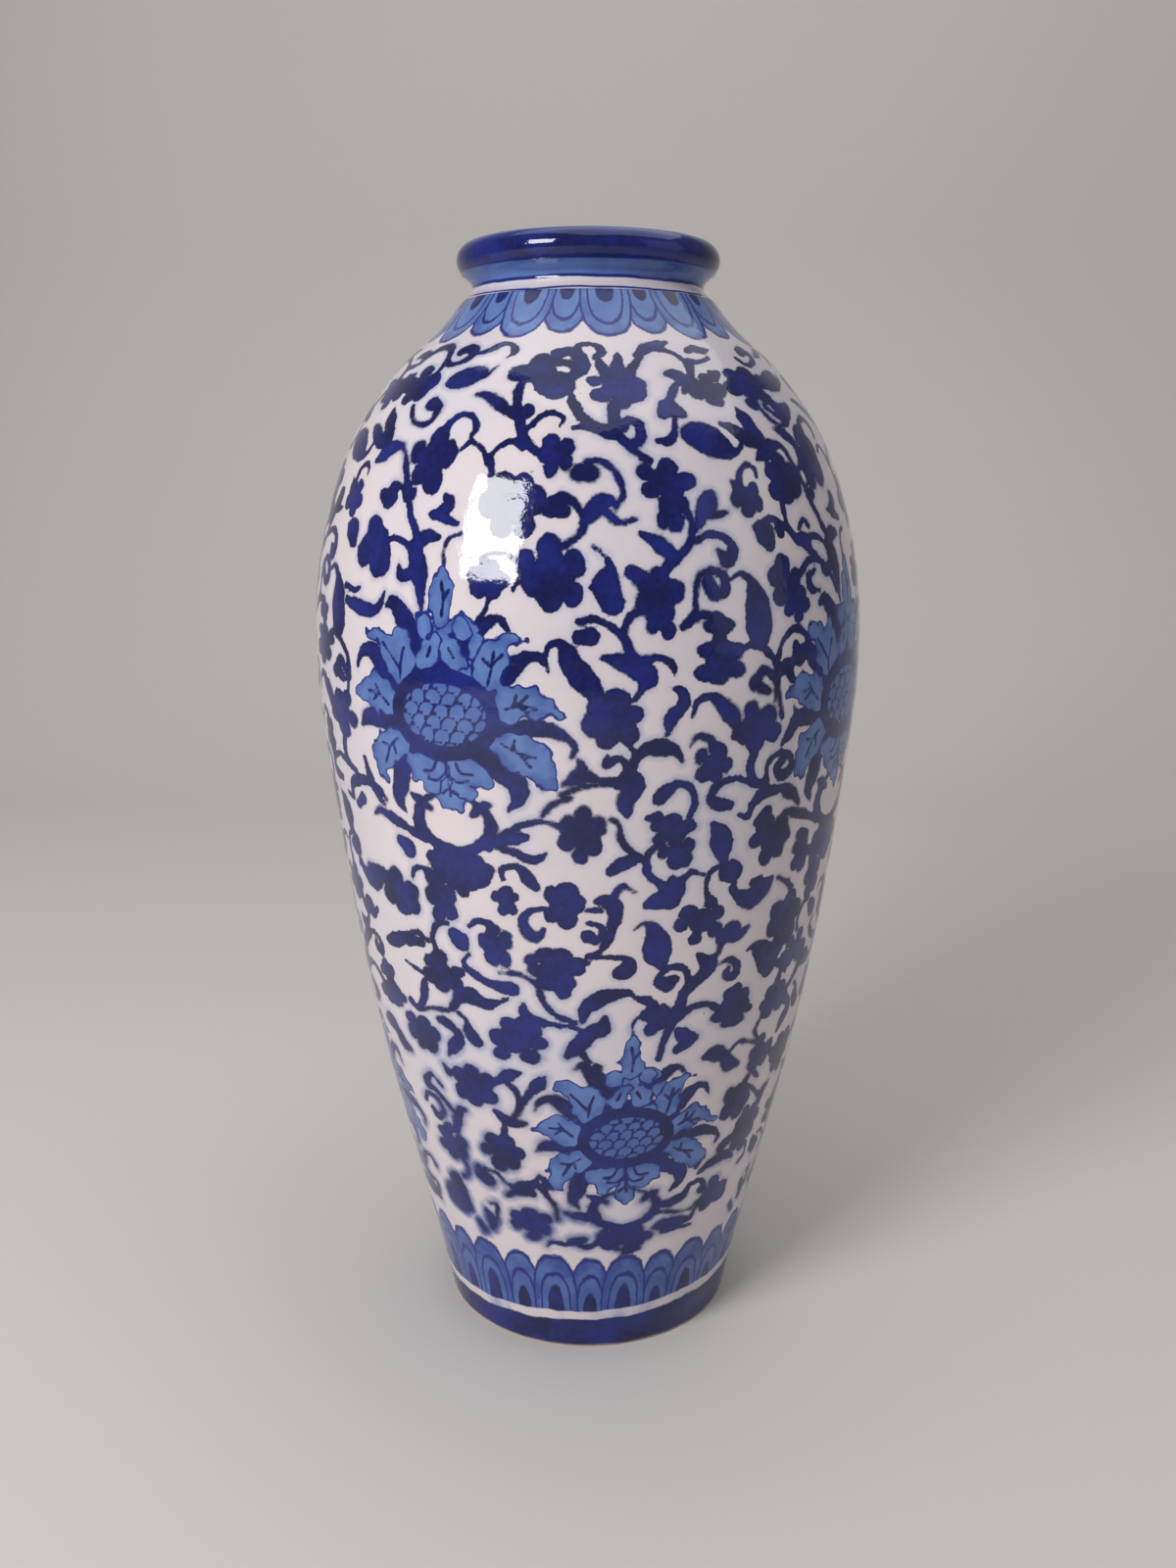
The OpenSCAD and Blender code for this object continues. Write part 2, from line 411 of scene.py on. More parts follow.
# one quarter of the scroll, laid out one by one: angle from the front in degrees, heights in millimetres
BLOOMS: tuple[tuple[float, ...], ...] = (
    # angle, height, width and height of the bloom, turn in degrees, lobes
    (44.5, 393, 26, 20, 20, 6), (-48.3, 393.6, 20, 18, 20, 5),
    (7, 391, 21, 16, 25, 6), (30, 391.5, 18, 15, 0, 5),
    (-34, 367, 20, 24, 15, 5), (-6.5, 368.5, 13, 16, 40, 5), (15, 360, 20, 17, 0, 5),
    (16, 349, 12, 15, 40, 4),
    (44, 360, 21, 19, 30, 6), (32.5, 354, 14, 15, 45, 5), (-14.5, 352, 22, 25, 10, 6),
    (-6.5, 329.5, 23, 26, 30, 6), (12.3, 323.5, 18, 17, 10, 5), (12.8, 313.5, 12, 14, 50, 4),
    (39.5, 324, 17, 20, 15, 5),
    (42.5, 317, 15, 13, 60, 5), (24.5, 298.5, 22, 17, 30, 6), (24, 310.5, 13, 11, 0, 4),
    (4.7, 279.5, 21, 20, 15, 6), (33.3, 274, 20, 20, 40, 5), (23.5, 262, 15, 15, 0, 5),
    (16, 238.5, 19, 12, 10, 5), (17.3, 229.5, 14, 14, 35, 5), (40, 229, 22, 21, 0, 6),
    (-1, 237.5, 19, 21, 20, 6),
    (-26, 221.5, 27, 15, 0, 6), (-25.5, 214.5, 11, 8, 0, 4), (-31.5, 207, 15, 19, 20, 5),
    (-43.5, 206, 23, 20, 30, 6),
    (-5, 210, 17, 19, 0, 5), (-16.5, 210.5, 12, 12, 20, 5), (24, 201, 20, 18, 15, 6),
    (-19.5, 191.5, 14, 18, 30, 5),
    (-7, 184, 22, 17, 5, 6), (-34, 176.5, 19.5, 17, 20, 6), (35, 165, 14, 14, 10, 5),
    (35.5, 157.5, 21, 12, 0, 6),
    (15, 163, 13, 15, 30, 5), (-16.5, 153, 24, 21, 0, 6), (-44, 146, 20, 17, 15, 6),
    (-29.5, 128, 21, 20, 30, 6),
    (-23.5, 99, 19, 20, 10, 6), (-41.5, 95.5, 18, 18, 20, 6), (42, 114, 17, 20, 0, 5),
    (-17.5, 65, 20, 17, 30, 6),
    (40, 71, 20, 17, 20, 6), (-18.3, 327, 17, 15, 10, 5), (48.3, 192, 22, 25, 10, 6),
    (51, 219, 16, 15, 0, 5),
    (50.5, 157, 20, 15, 0, 6), (48.5, 134, 17, 17, 20, 5), (50, 101, 17, 19, 0, 6),
)
STROKES: tuple[Path, ...] = (
    # angle, height and half width at each point of a stroke
    # links between the groups
    ((-17.8, 320.5, 1.2), (-18.6, 316, 0.9), (-19.8, 312.5, 1.2), (-17.6, 310.5, 0.8)),
    ((-13.4, 323.5, 0.7), (-12.2, 328.5, 0.9), (-13.6, 334, 0.9), (-16.8, 336, 0.8), (-19.6, 334, 1)),
    ((44.5, 181, 1), (46.5, 176, 1.3), (50, 172, 1.3), (53, 168, 1)),
    ((43.5, 212, 0.8), (46.5, 209.5, 1.2), (49, 206, 1.6)),
    ((46, 152, 1), (44, 147, 1.2), (45.5, 142, 1.3)),
    # the shoulder and the belly, and the right half below
    ((-44.5, 396, 1.2), (-42.8, 401, 1.3), (-43.6, 405.5, 1.6), (-47, 408, 2), (-52, 406.5, 1.6),
     (-57, 402, 1)),
    ((-43.2, 403, 1.3), (-41, 401, 1.3), (-38, 401, 1.2), (-35, 402.5, 1.4), (-34, 405, 2),
     (-36.5, 406.5, 2.6), (-39, 405.5, 2.4)),
    ((-37, 393.8, 2), (-34.5, 395, 4.2), (-31.5, 396, 4.6), (-28.5, 397, 3.4), (-26.5, 396, 1),
     (-24, 399.5, 0.7)),
    ((-17.8, 396.5, 3.6), (-14.5, 396.5, 4.2)), ((-12.2, 400.6, 4.2), (-11, 395.5, 5)),
    ((-8.2, 403.3, 2.6), (-5.2, 404.2, 2.4), (-2.6, 402.6, 2.4), (-1.4, 399.5, 3)),
    ((-9.5, 399.8, 1.8), (-6, 399.9, 1.6), (-2.4, 398.8, 2.6)),
    ((-2, 397.4, 2.8), (-4.4, 395.2, 2), (-8, 395.2, 2)),
    ((-10.5, 391.5, 3.4), (-7.5, 390.6, 4.2), (-5, 391.6, 3)),
    ((-32, 404.5, 0.6), (-28.5, 405.5, 1.4), (-25.5, 407.3, 1.6), (-22.5, 407, 1.3), (-20.6, 404.8, 1.6),
     (-22, 402.5, 0.6)),
    ((-46, 386, 1), (-43.5, 381, 1.1), (-39.5, 379.3, 1.1), (-36.8, 381.5, 1.5), (-37, 385.5, 2.2),
     (-39.2, 386.5, 3)),
    ((-5, 404, 1.2), (-2, 406.5, 1.2), (1.5, 406.5, 1.2), (3.8, 404, 1.8), (1.5, 401.5, 0.8)),
    ((-19, 397, 2), (-16.5, 397, 2.5)),
    ((5, 394.5, 2.6), (3.4, 399, 2), (2.2, 402, 0.6)),
    ((7, 395, 2.8), (7.6, 400, 2.2), (7.9, 403.5, 0.6)),
    ((9.4, 394.5, 2.6), (11.2, 398.5, 1.8), (12.2, 400.5, 0.6)),
    ((-16, 394, 1.8), (-16.3, 388, 1.8), (-15, 381, 2), (-13.5, 375, 1.8), (-11, 370.5, 1.6),
     (-9, 369, 1.4)),
    ((-27, 389.5, 0.7), (-24.5, 389, 1.5), (-21, 386.5, 2.5), (-18, 383.5, 2.2), (-15, 380.5, 1.5)),
    ((-15, 380, 0.9), (-13.3, 383.5, 2.7)),
    ((-13, 377, 1.2), (-10, 381.5, 1.2), (-7.5, 382.5, 1.1), (-5.2, 380.8, 1), (-6, 378, 0.6)),
    ((-20.5, 366, 1.1), (-18.5, 371, 1.1), (-15.8, 373, 1.1), (-13, 371.5, 1.8)),
    ((-19.6, 366.5, 1.2), (-19, 358, 1.3), (-18.4, 350, 1.6)),
    ((-4, 389.5, 0.8), (-3, 385, 2), (-0.8, 380.5, 1.8), (2, 377.5, 1.4)),
    ((-3, 377.5, 0.8), (0, 378, 1.8), (3.5, 376.5, 2.6), (6.5, 374.5, 1.8)),
    ((11, 397, 1.5), (13.5, 402, 1.3), (18, 405.2, 1.4), (23.5, 404.2, 1.2), (27, 401.5, 1.2),
     (31, 401.3, 1.1), (35, 402.8, 0.8)),
    ((12.5, 402.5, 0.8), (16, 405.2, 2.4), (20, 406.8, 2.4), (23.6, 408, 0.7)),
    ((28.3, 404.5, 0.7), (31, 406, 2), (34, 405.5, 2.2), (37, 406, 0.6)),
    ((27.5, 401, 2), (27, 397, 1.8)),
    ((19.5, 396.3, 0.8), (22, 396, 2.4), (25, 393, 3.4), (23, 390, 1)),
    ((33, 396, 2.4), (35.8, 397.5, 1)),
    ((22, 393, 1.5), (19.8, 389.5, 1.5), (18.3, 386, 1.8)),
    ((16.5, 382.5, 2.4), (18.2, 384.5, 3.6), (20.8, 382.5, 2)),
    ((19, 380.5, 1.3), (18.4, 376.5, 1.3), (17, 373.2, 1.8), (14.6, 373.2, 1)),
    ((5.5, 384, 2.3), (5.6, 378.5, 2.2), (7, 373.5, 1.8), (10, 369, 1.4), (12.5, 366.5, 1.5)),
    ((7, 377.5, 2), (8.8, 380, 1.7), (10.9, 378, 1.7), (10.6, 373.8, 2), (8.5, 371.5, 1.8)),
    ((20.4, 377.5, 0.8), (22.6, 375.5, 4.6), (25.5, 374, 6.2), (28.3, 371.6, 5), (31, 369.5, 2.2),
     (33, 370.5, 1.1), (34.8, 374, 0.9)),
    ((30, 379.5, 0.8), (33, 377.5, 2.6), (36.5, 374, 3), (40.5, 371.8, 1.6)),
    ((36, 385, 0.8), (37.5, 380.5, 3.4), (39.5, 375.5, 2.8), (41, 370.5, 1.6)),
    ((46.5, 386, 1.4), (49.5, 383, 1.5), (53, 384, 3.8), (57.5, 387, 1.4)),
    ((48, 362, 1.3), (51, 365, 1.3), (52, 371, 1.6), (49.5, 376, 2.6), (46, 378, 1)),
    ((-32.3, 376, 2.2), (-31.3, 380.3, 1.5), (-28.3, 382.5, 1.2), (-25.6, 381, 1.3), (-24.5, 377.5, 1.2),
     (-25.2, 375.3, 0.7)),
    ((-27, 370.5, 0.7), (-24.8, 373, 1), (-22, 370.5, 1), (-20.5, 366.5, 1.1)),
    ((-52, 367, 1), (-49, 369.5, 3.4), (-45.5, 372, 2.4), (-43, 371, 1.3), (-40.8, 365, 1.4),
     (-38.8, 357.5, 1.6), (-37, 349.5, 1.6), (-34.5, 342, 1.6), (-33, 338, 2)),
    ((-45.6, 355, 2.5), (-43.5, 354, 4), (-43, 358, 2), (-40.6, 357.5, 1.2), (-38.6, 353.5, 1.4)),
    ((-39, 354.3, 1.3), (-37.2, 355.2, 2.4)),
    ((-39, 357.5, 1.1), (-36, 361.5, 1.3)),
    ((-31.8, 348.5, 0.8), (-29.5, 348.8, 2.4), (-27.6, 352, 2.6), (-28.6, 354.8, 1)),
    ((-29, 347.5, 2), (-25.5, 345.5, 1.4)),
    ((-43, 338, 1.4), (-40, 340, 1.3), (-37, 338.5, 1.3), (-34.5, 335, 1.6)),
    ((-34.5, 336, 2), (-32.3, 340.5, 3), (-29.2, 340.5, 1.2)),
    ((-34.5, 337, 3), (-33, 330, 4), (-32.2, 323, 2.4), (-31.6, 315, 0.9)),
    ((-38, 330.5, 0.8), (-36.8, 327, 2), (-34, 329, 2.4)),
    ((-53.5, 316.5, 1.6), (-49.5, 315, 2.8), (-45, 314, 2.6), (-42.3, 316, 1.8), (-41.3, 320.5, 0.7)),
    ((-54.5, 322, 1.2), (-51, 320.5, 1.2), (-49, 321.5, 0.8)),
    ((-48.5, 334.5, 5.5), (-45, 338.5, 6), (-43.5, 331.5, 6), (-46.5, 343.5, 4.5)),
    ((-6.5, 351.5, 4.2), (-4.3, 354.2, 2.2), (-2, 351.5, 1.4), (-0.7, 346.5, 1.4), (-2, 341.5, 1.3),
     (-4.4, 338.5, 1.4)),
    ((-7.4, 352.3, 2.6), (-4.8, 350, 3)),
    ((-1, 345.5, 1.4), (1, 350.5, 3.4), (3.5, 353.5, 2.6), (5.6, 352, 1)),
    ((3, 350, 1.8), (5.8, 346.2, 1.5), (9, 347.3, 0.6)),
    ((-1.5, 362.5, 3.6), (0.6, 362.5, 3.4)),
    ((-0.5, 366.5, 1), (2.6, 366.3, 1.2), (5.6, 362, 1.3), (6.6, 356, 1.3), (5.2, 351.5, 1.4)),
    ((17.5, 352, 1.5), (19.5, 347, 1.5), (19.3, 340.5, 1.6), (17, 335.5, 1.8), (14, 331, 2)),
    ((20, 340, 1.4), (23.5, 341.8, 1.3), (26.5, 340.5, 1.5), (27.7, 336.5, 2), (26.2, 333, 3),
     (24.5, 336.2, 1)),
    ((20.3, 343.5, 1.4), (22, 349, 2.8), (23.6, 353, 3.8), (24.2, 355.5, 1.6)),
    ((22.5, 348.5, 2), (25, 348.5, 1.3), (27.5, 349.5, 0.6)),
    ((9.4, 342.6, 0.7), (11.5, 340.5, 2.2), (14, 337.5, 2.8), (16, 334.5, 1.8)),
    ((29.3, 360, 0.8), (30.5, 357.5, 2)),
    ((31, 358, 1.6), (31.9, 363, 1.3), (34, 365.2, 1.1), (35.8, 363.8, 1), (35.9, 361.5, 0.6)),
    ((33.4, 344, 1.2), (35.5, 342, 4.4), (36.5, 338.5, 3)),
    ((36, 346.5, 1.2), (39, 346.5, 1.2), (42, 342.5, 1.3), (45, 338, 1.4), (50, 333.5, 1.2)),
    ((39.2, 345.5, 1.5), (39.8, 341.8, 2.3)),
    ((42, 352, 1.3), (42, 345.5, 1.1), (44, 340.5, 1.3)),
    ((44.5, 339.5, 2), (47, 338.5, 3), (48.5, 335.5, 1.5)),
    ((45.5, 343, 0.8), (47.5, 346, 1), (49, 343.5, 1)),
    ((38.8, 332, 2.8), (39.2, 328, 4)),
    ((44, 327, 1.6), (46.5, 331, 1.3), (50, 331.8, 1.2), (54, 327.8, 1.2), (57, 320, 1)),
    ((49, 327.8, 0.8), (46.7, 325.5, 1.6), (47.2, 321.3, 1.8), (50, 320.5, 0.8)),
    ((7.7, 330.2, 2.4), (9.5, 327.5, 3.4)),
    ((0.9, 338.3, 0.6), (3.2, 334.8, 1), (3.9, 330.5, 2.2), (3.2, 325, 5), (4.4, 318.5, 3.4), (6, 320, 1)),
    ((0.7, 324.5, 1), (2, 325.5, 2.5)),
    ((-1.5, 313.2, 1.2), (1.2, 314.2, 1.3), (4, 311.5, 1.4), (6.2, 308, 1.6), (7.2, 303.5, 1.5),
     (8.4, 300.5, 1.6)),
    ((10, 317, 2), (7.4, 315, 1.6), (6, 309, 1.4)),
    ((-1.6, 308, 2.6), (0.6, 308.2, 3)),
    ((19.6, 313.5, 1.3), (19.4, 320, 1.2), (20, 327, 1.3), (22.5, 330, 1.4), (25.2, 327.5, 1.8),
     (25.2, 322.5, 2), (22.8, 321.5, 2), (21.7, 324.8, 1.6)),
    ((22, 326.2, 2.6), (23.4, 322.8, 1.8)),
    ((17, 311, 1.5), (19.5, 314.8, 1.8), (23, 314, 1.3), (26.5, 311, 1.3)),
    ((26.6, 326.6, 0.7), (29, 328.3, 1.2), (31.2, 325, 2), (32.2, 318, 5), (32.6, 310, 6), (33, 304.5, 3)),
    ((27.8, 301, 1.4), (31, 303.7, 1.5), (34.6, 300.5, 1.5), (37, 295, 1.4), (37.3, 288, 1.6)),
    ((37, 293, 1.3), (37.8, 302, 1.2), (41, 307.8, 1.3), (44.5, 306, 1.6), (45.6, 300.5, 2.4),
     (43, 297.5, 3.4), (41.8, 302, 1.8)),
    ((2.6, 301, 1), (5, 300.2, 2.6), (8, 297.5, 3.4), (10.5, 294.5, 3.8), (9.5, 290, 1.4),
     (8.3, 286.5, 1.2)),
    ((8.5, 299, 2), (12.3, 300.8, 1.2), (14.8, 298.7, 1.3), (15.6, 294.5, 0.6)),
    ((-7.6, 301.5, 0.7), (-6.6, 305.5, 1.2), (-4.4, 305.5, 2), (-2.8, 299, 4), (-0.6, 293, 4.4),
     (1.4, 288.5, 3)),
    ((14.4, 290.2, 0.6), (16.8, 288.5, 1.8), (17.3, 284, 2.4), (15, 279.5, 2.6), (14.4, 273.8, 1)),
    ((19, 279.8, 0.7), (19.8, 285, 1.3), (22.5, 286.5, 1.6), (24.8, 283, 3), (27, 278.8, 3.6),
     (28.5, 274, 2)),
    ((38.8, 276, 1.2), (37.3, 290.5, 1.6), (39.5, 294.5, 3.2), (41.3, 289.5, 1.8), (44, 288.5, 1),
     (44.3, 292, 0.7)),
    ((32, 291, 1), (33, 288.3, 2.4), (35, 286.5, 1.6)),
    ((31.5, 289.5, 2.6), (34, 294, 2), (36.6, 289, 1.3), (36.8, 283, 1)),
    ((42, 279.5, 0.7), (43, 275, 2), (42, 270.5, 2.6), (39.6, 266, 1.2)),
    ((29, 273.5, 1), (27.3, 271.5, 1.2), (30, 270, 2)),
    ((8, 263.5, 1.2), (10.5, 268.3, 2.4), (13.5, 269, 3.2), (16, 267.5, 2), (17.5, 263.3, 0.6)),
    ((18.8, 269, 0.8), (20.2, 272.3, 1.2), (22.6, 271, 1.6), (23.4, 267.5, 2.4)),
    ((36.5, 251.5, 1.3), (36.2, 258.5, 1.2), (38.8, 262.5, 1.3), (42, 261, 1.6), (43, 256.5, 2),
     (40.5, 253.5, 2.4), (38.8, 257, 2), (40.5, 259.5, 1.6)),
    ((33, 265.5, 1.8), (32, 259.5, 2), (33.2, 253.5, 1.8), (36.5, 250.5, 1.4)),
    ((23.5, 250.5, 1.3), (25.6, 254, 1.3), (29, 255.3, 1.2), (33, 252.3, 1.2), (38, 249.5, 1.2),
     (42.5, 248, 1.6)),
    ((8, 259.5, 1.2), (8.7, 265.5, 1.1), (7.3, 270.5, 1), (5.5, 272.5, 0.6)),
    ((3.4, 266.5, 1), (3.2, 263, 1.6), (5.6, 265.8, 1.3), (7, 262, 1.2), (5.4, 258.3, 1.2),
     (1.5, 257.7, 1)),
    ((5.5, 255.5, 1.6), (8, 258, 3), (9.3, 254.5, 2.6), (7, 250.5, 3.6), (7.3, 245, 1.6)),
    ((-5, 252.5, 1.2), (-1, 255.3, 1.3), (3, 256.3, 1.4), (6.5, 257.5, 1.6)),
    ((-4.6, 256, 1), (-2.2, 258.6, 3), (-1, 262, 1.8), (-1.6, 265, 0.7)),
    ((-0.5, 259, 2.6), (1, 258.5, 2)),
    ((13.4, 250.5, 2.8), (15, 253.4, 2.6), (17, 255.5, 1.6), (19.6, 253, 1.5), (20.4, 247.5, 1.4),
     (19.4, 242.5, 1.5)),
    ((11.4, 243, 1.4), (13.2, 243.5, 2)),
    ((24.9, 255.5, 1.3), (23.4, 250.8, 1.2), (24.8, 246.5, 2.4), (28, 245.3, 2)),
    ((24.3, 239.2, 0.8), (25.8, 236, 3), (27, 231.5, 5), (27.5, 226.5, 3), (28.5, 222.8, 1.4)),
    ((30.5, 241, 1), (32.8, 240, 1.4), (33.4, 244.5, 1.6), (35.5, 247.5, 2.6), (39, 248.5, 2),
     (43.5, 247.8, 1.6), (46.5, 243.5, 1)),
    ((42.5, 247, 3), (45, 245, 2.4), (47.3, 240.5, 1)),
    ((35, 237, 2), (37.5, 240.5, 2.4)),
    ((4.2, 243.2, 1.1), (5.8, 241, 1.3), (6.3, 235.5, 1.4), (8.6, 230, 1.6), (11, 227, 1.6)),
    ((4.3, 223.3, 2), (6.4, 226, 2.8), (9.5, 227.5, 1.6)),
    ((13.3, 232.6, 1.3), (11.6, 229, 1.5), (11.8, 222, 1.6), (14.5, 217, 1.8), (16, 215, 2)),
    ((11.6, 209, 1), (13.6, 211, 3.2), (17, 210.5, 3.6)),
    ((16.6, 219.5, 1.6), (17.6, 214.5, 3.8), (19, 218.5, 1.8), (21, 221, 1.1), (23.5, 219.5, 0.6)),
    ((1.6, 211.5, 1), (3.6, 212, 2.8), (5.3, 208.5, 3.4), (5.2, 203, 2.2), (4.2, 197, 2), (2.4, 191.5, 1.4),
     (0, 189.4, 1.2)),
    ((4.8, 213, 1.8), (6.8, 217.3, 1.3), (9.4, 214.6, 0.6)),
    ((2.6, 208.3, 1), (-0.5, 208.3, 0.8)),
    ((0, 203, 1), (2, 202.3, 1.2), (3, 199, 1.2), (1.5, 196, 1.6), (0, 197.8, 2.6)),
    ((0, 189.4, 1.2), (4, 189.2, 1.1), (7.5, 188.5, 1.5), (8.8, 185, 2.8), (7, 182.8, 3), (5.6, 183, 1)),
    ((28.3, 219, 2.6), (30.3, 218.8, 4.4), (29.8, 222.5, 2)),
    ((28.5, 223.5, 1), (25.3, 220.5, 1), (24.3, 215.5, 1), (24.8, 210.5, 1.2)),
    ((30.5, 212.5, 1.4), (32.5, 208.5, 2.6), (36, 206.5, 4.6), (39, 209.5, 4.4), (41.5, 213, 1)),
    ((31, 214.5, 1.2), (31, 211, 1.4)),
    ((35.6, 213, 1.5), (38, 213.5, 2)),
    ((9.4, 199.8, 0.7), (11.5, 202.3, 1.2), (13.2, 200, 2.6), (14.2, 194.5, 5), (14.5, 190, 5.4),
     (15.8, 185.5, 2.4)),
    ((25, 203, 2), (27.5, 197.5, 1.6), (29.5, 192, 2.6), (32, 195, 3.8), (33, 191.5, 2.4),
     (36, 194.5, 1.4)),
    ((29.5, 192, 1.6), (29, 187, 1.4), (27.5, 184, 2)),
    ((23.8, 187.3, 0.9), (25.4, 184.5, 2.6), (27.4, 182, 3.2), (24.8, 177.5, 3), (22, 173, 2.4),
     (20.6, 168, 2.4)),
    ((29.5, 181.5, 0.9), (32, 182.5, 1.4), (34.4, 179.5, 1.8), (33.8, 175, 2.2), (31.7, 176, 2),
     (32, 179, 1.4)),
    ((15, 180, 1.2), (17.6, 183.4, 1.3), (20.5, 182.5, 1.5), (22, 178, 1.4), (21.4, 172, 1.5)),
    ((15.4, 178, 2.4), (17, 176.3, 3.2), (18.4, 178, 2.4)),
    ((36.6, 184, 0.7), (38.8, 185.5, 1.8), (42, 181.5, 5), (44.5, 176.5, 6), (45, 171.5, 2)),
    ((21, 169, 2.4), (20, 163.5, 2.6), (18.8, 158.5, 2), (17.4, 152, 1.6), (16.5, 144.5, 1.4)),
    ((-1.2, 162, 0.9), (-0.6, 167.5, 2.4), (2.2, 171.8, 3.4), (5.4, 173.6, 2.6), (8.8, 174, 1.3),
     (10.8, 170.5, 0.7)),
    ((10.5, 171.5, 0.9), (13, 170, 2)),
    ((20.6, 161.5, 2), (24, 165, 1.5), (28, 164.8, 1.4), (31.5, 161, 1.6)),
    ((20.5, 156, 1.6), (22.6, 152.5, 3.4), (25, 151.5, 2)),
    ((21, 147.5, 2), (24, 150.5, 2.6)),
    ((3.6, 164, 0.9), (3.2, 159.5, 3), (0.6, 157.5, 3.2), (-2.4, 151.5, 3.4), (-4.6, 147.5, 1.6)),
    ((3, 142.5, 0.6), (0, 145.5, 1), (-1.8, 150, 1.8)),
    ((29, 141.5, 2), (31.8, 142, 4), (34.6, 139, 3), (36.5, 135, 3.4), (39.5, 133.5, 1.4)),
    ((36, 140.5, 0.8), (38.5, 143.7, 1.1), (42, 142.5, 1.1), (46, 140, 1.4)),
    # left half, from the middle down, and the foot on the right
    ((-50, 258, 1), (-48.4, 250, 2.4), (-46.5, 244, 1.6), (-44.5, 240.5, 0.7)),
    ((-34, 230.5, 1.6), (-38, 233.5, 1.8), (-42, 236, 2.4), (-46.5, 238, 1.8), (-49, 236, 0.8)),
    ((-41, 227.5, 2.6), (-39, 225.5, 3.8)),
    ((-19.5, 230.5, 1.8), (-17, 235.5, 1.3), (-13, 240, 1.2), (-9, 242, 1.2), (-5, 240.5, 1.3)),
    ((-18.5, 232, 1.5), (-15.5, 235, 2.8), (-12, 235.5, 1.8)),
    ((-18, 231, 1.2), (-14.5, 229.5, 1.7), (-10.5, 227, 1.6), (-7.7, 230.3, 0.7)),
    ((-8.6, 244, 1), (-6.6, 248.5, 1.4), (-3.5, 251, 1.3)),
    ((-39, 213.7, 0.7), (-38, 217.4, 1.2), (-35.3, 218.8, 1.3), (-33.2, 215, 3.4), (-32.5, 211, 3.5)),
    ((-27.8, 191.5, 4), (-29.5, 194.5, 2.4)),
    ((-30.6, 198, 1.2), (-33.6, 196.5, 1.2), (-35.4, 191, 1.1), (-34.8, 186, 1.2)),
    ((-36.5, 188.5, 1.1), (-40, 191, 1.3), (-43, 188, 2), (-47.5, 184.5, 3.4), (-51, 182.5, 1.8)),
    ((-39, 187, 2), (-43, 186, 2.4)),
    ((-25.4, 198.3, 0.8), (-23.6, 200.8, 1.1), (-21, 200.5, 1.6), (-19.8, 198, 3)),
    ((-26, 186.5, 0.8), (-27.4, 183, 1.2), (-25.6, 179, 1.8), (-22, 176, 1.6), (-19.5, 175, 2.6),
     (-16.3, 174.7, 2.8)),
    ((-19, 180.7, 1), (-14.5, 181, 1.2), (-11, 177.5, 1.3), (-10, 171.5, 1.3), (-7.6, 165.5, 1.3),
     (-3, 161.5, 1.4)),
    ((-10.4, 176, 1), (-8.8, 180.2, 1), (-6.5, 180.5, 0.8)),
    ((-17, 218.8, 0.7), (-17, 223, 1.2), (-14, 224, 1.3), (-12, 220.5, 2.8), (-10.2, 216.5, 1.6)),
    ((-9, 208.5, 1), (-11.8, 207, 1.3), (-13.4, 202.3, 2), (-11.6, 197.2, 2.6), (-9.6, 197.8, 1.6),
     (-9, 200.2, 0.8)),
    ((-12, 187, 2.4), (-9, 190, 2)), ((-8, 190.5, 2.6), (-7.7, 186, 4)), ((-5.2, 174.8, 3), (-5, 180, 4)),
    ((-2.5, 187.5, 2), (0, 187, 1)),
    ((-45.2, 176.3, 0.8), (-41, 174.3, 1), (-38, 173, 1.2)),
    ((-39.3, 171.5, 1.2), (-40.3, 166, 2.4), (-41.3, 160.5, 1.8), (-43.5, 157.5, 1.2)),
    ((-43.5, 156, 1), (-38, 159.3, 1.2), (-33.5, 160.3, 1.3), (-31.5, 163.5, 1.8), (-29.6, 168, 3.2),
     (-26.5, 168.8, 3.6), (-22.5, 166.5, 2.2), (-17.8, 170, 0.6)),
    ((-30.5, 160, 1), (-28.8, 157.5, 1.1), (-28.2, 153, 2.8), (-26.8, 149.5, 2.8), (-25, 149, 1)),
    ((-37.4, 154.8, 1), (-35, 154.5, 2.4), (-32.2, 151.5, 2), (-31.4, 148.5, 2.6), (-33.4, 144.5, 3),
     (-35.3, 140, 1)),
    ((-45.8, 158.5, 2), (-43.5, 156, 1.1)),
    ((-14.2, 169, 0.8), (-14, 164.5, 2.2), (-11.6, 161.6, 2.4), (-8, 160.8, 1.2), (-3.5, 160, 1.1),
     (-1, 158, 1.4)),
    ((-25, 129.5, 1.4), (-21.5, 133.5, 2), (-19.2, 136.3, 2.8), (-16.2, 138, 0.8)),
    ((-20, 133, 1.5), (-17.7, 129.5, 1.5), (-16.9, 123, 1.7), (-18.5, 117.5, 1.5)),
    ((-16.4, 124, 1.4), (-14, 129.5, 1.8), (-12, 133.5, 3), (-10.2, 137, 1)),
    ((-24, 118.5, 1), (-21.5, 115.5, 2.6), (-18.5, 114.5, 2.4), (-15.8, 114.7, 1)),
    ((-21.5, 116, 1.5), (-21.8, 111, 1.4), (-22, 107, 1.8)),
    ((-36.5, 131, 2), (-38, 134, 1)),
    ((-32.6, 115.5, 0.8), (-35, 114, 2), (-36.6, 109, 2.6), (-38, 102.5, 2)),
    ((-40, 122.5, 0.8), (-43.5, 126.5, 1.3), (-46, 121.5, 2.4), (-42, 118.5, 1.2), (-37.5, 112.5, 1.4)),
    ((-48.5, 112, 1.4), (-47, 116, 1.3), (-43.3, 115.5, 1.5), (-41.5, 110.5, 1.5), (-44, 106.8, 2.4),
     (-46.2, 109.5, 1.6)),
    ((-31.5, 84.5, 3.8), (-29.6, 82.5, 3.4), (-32.6, 87.3, 2)),
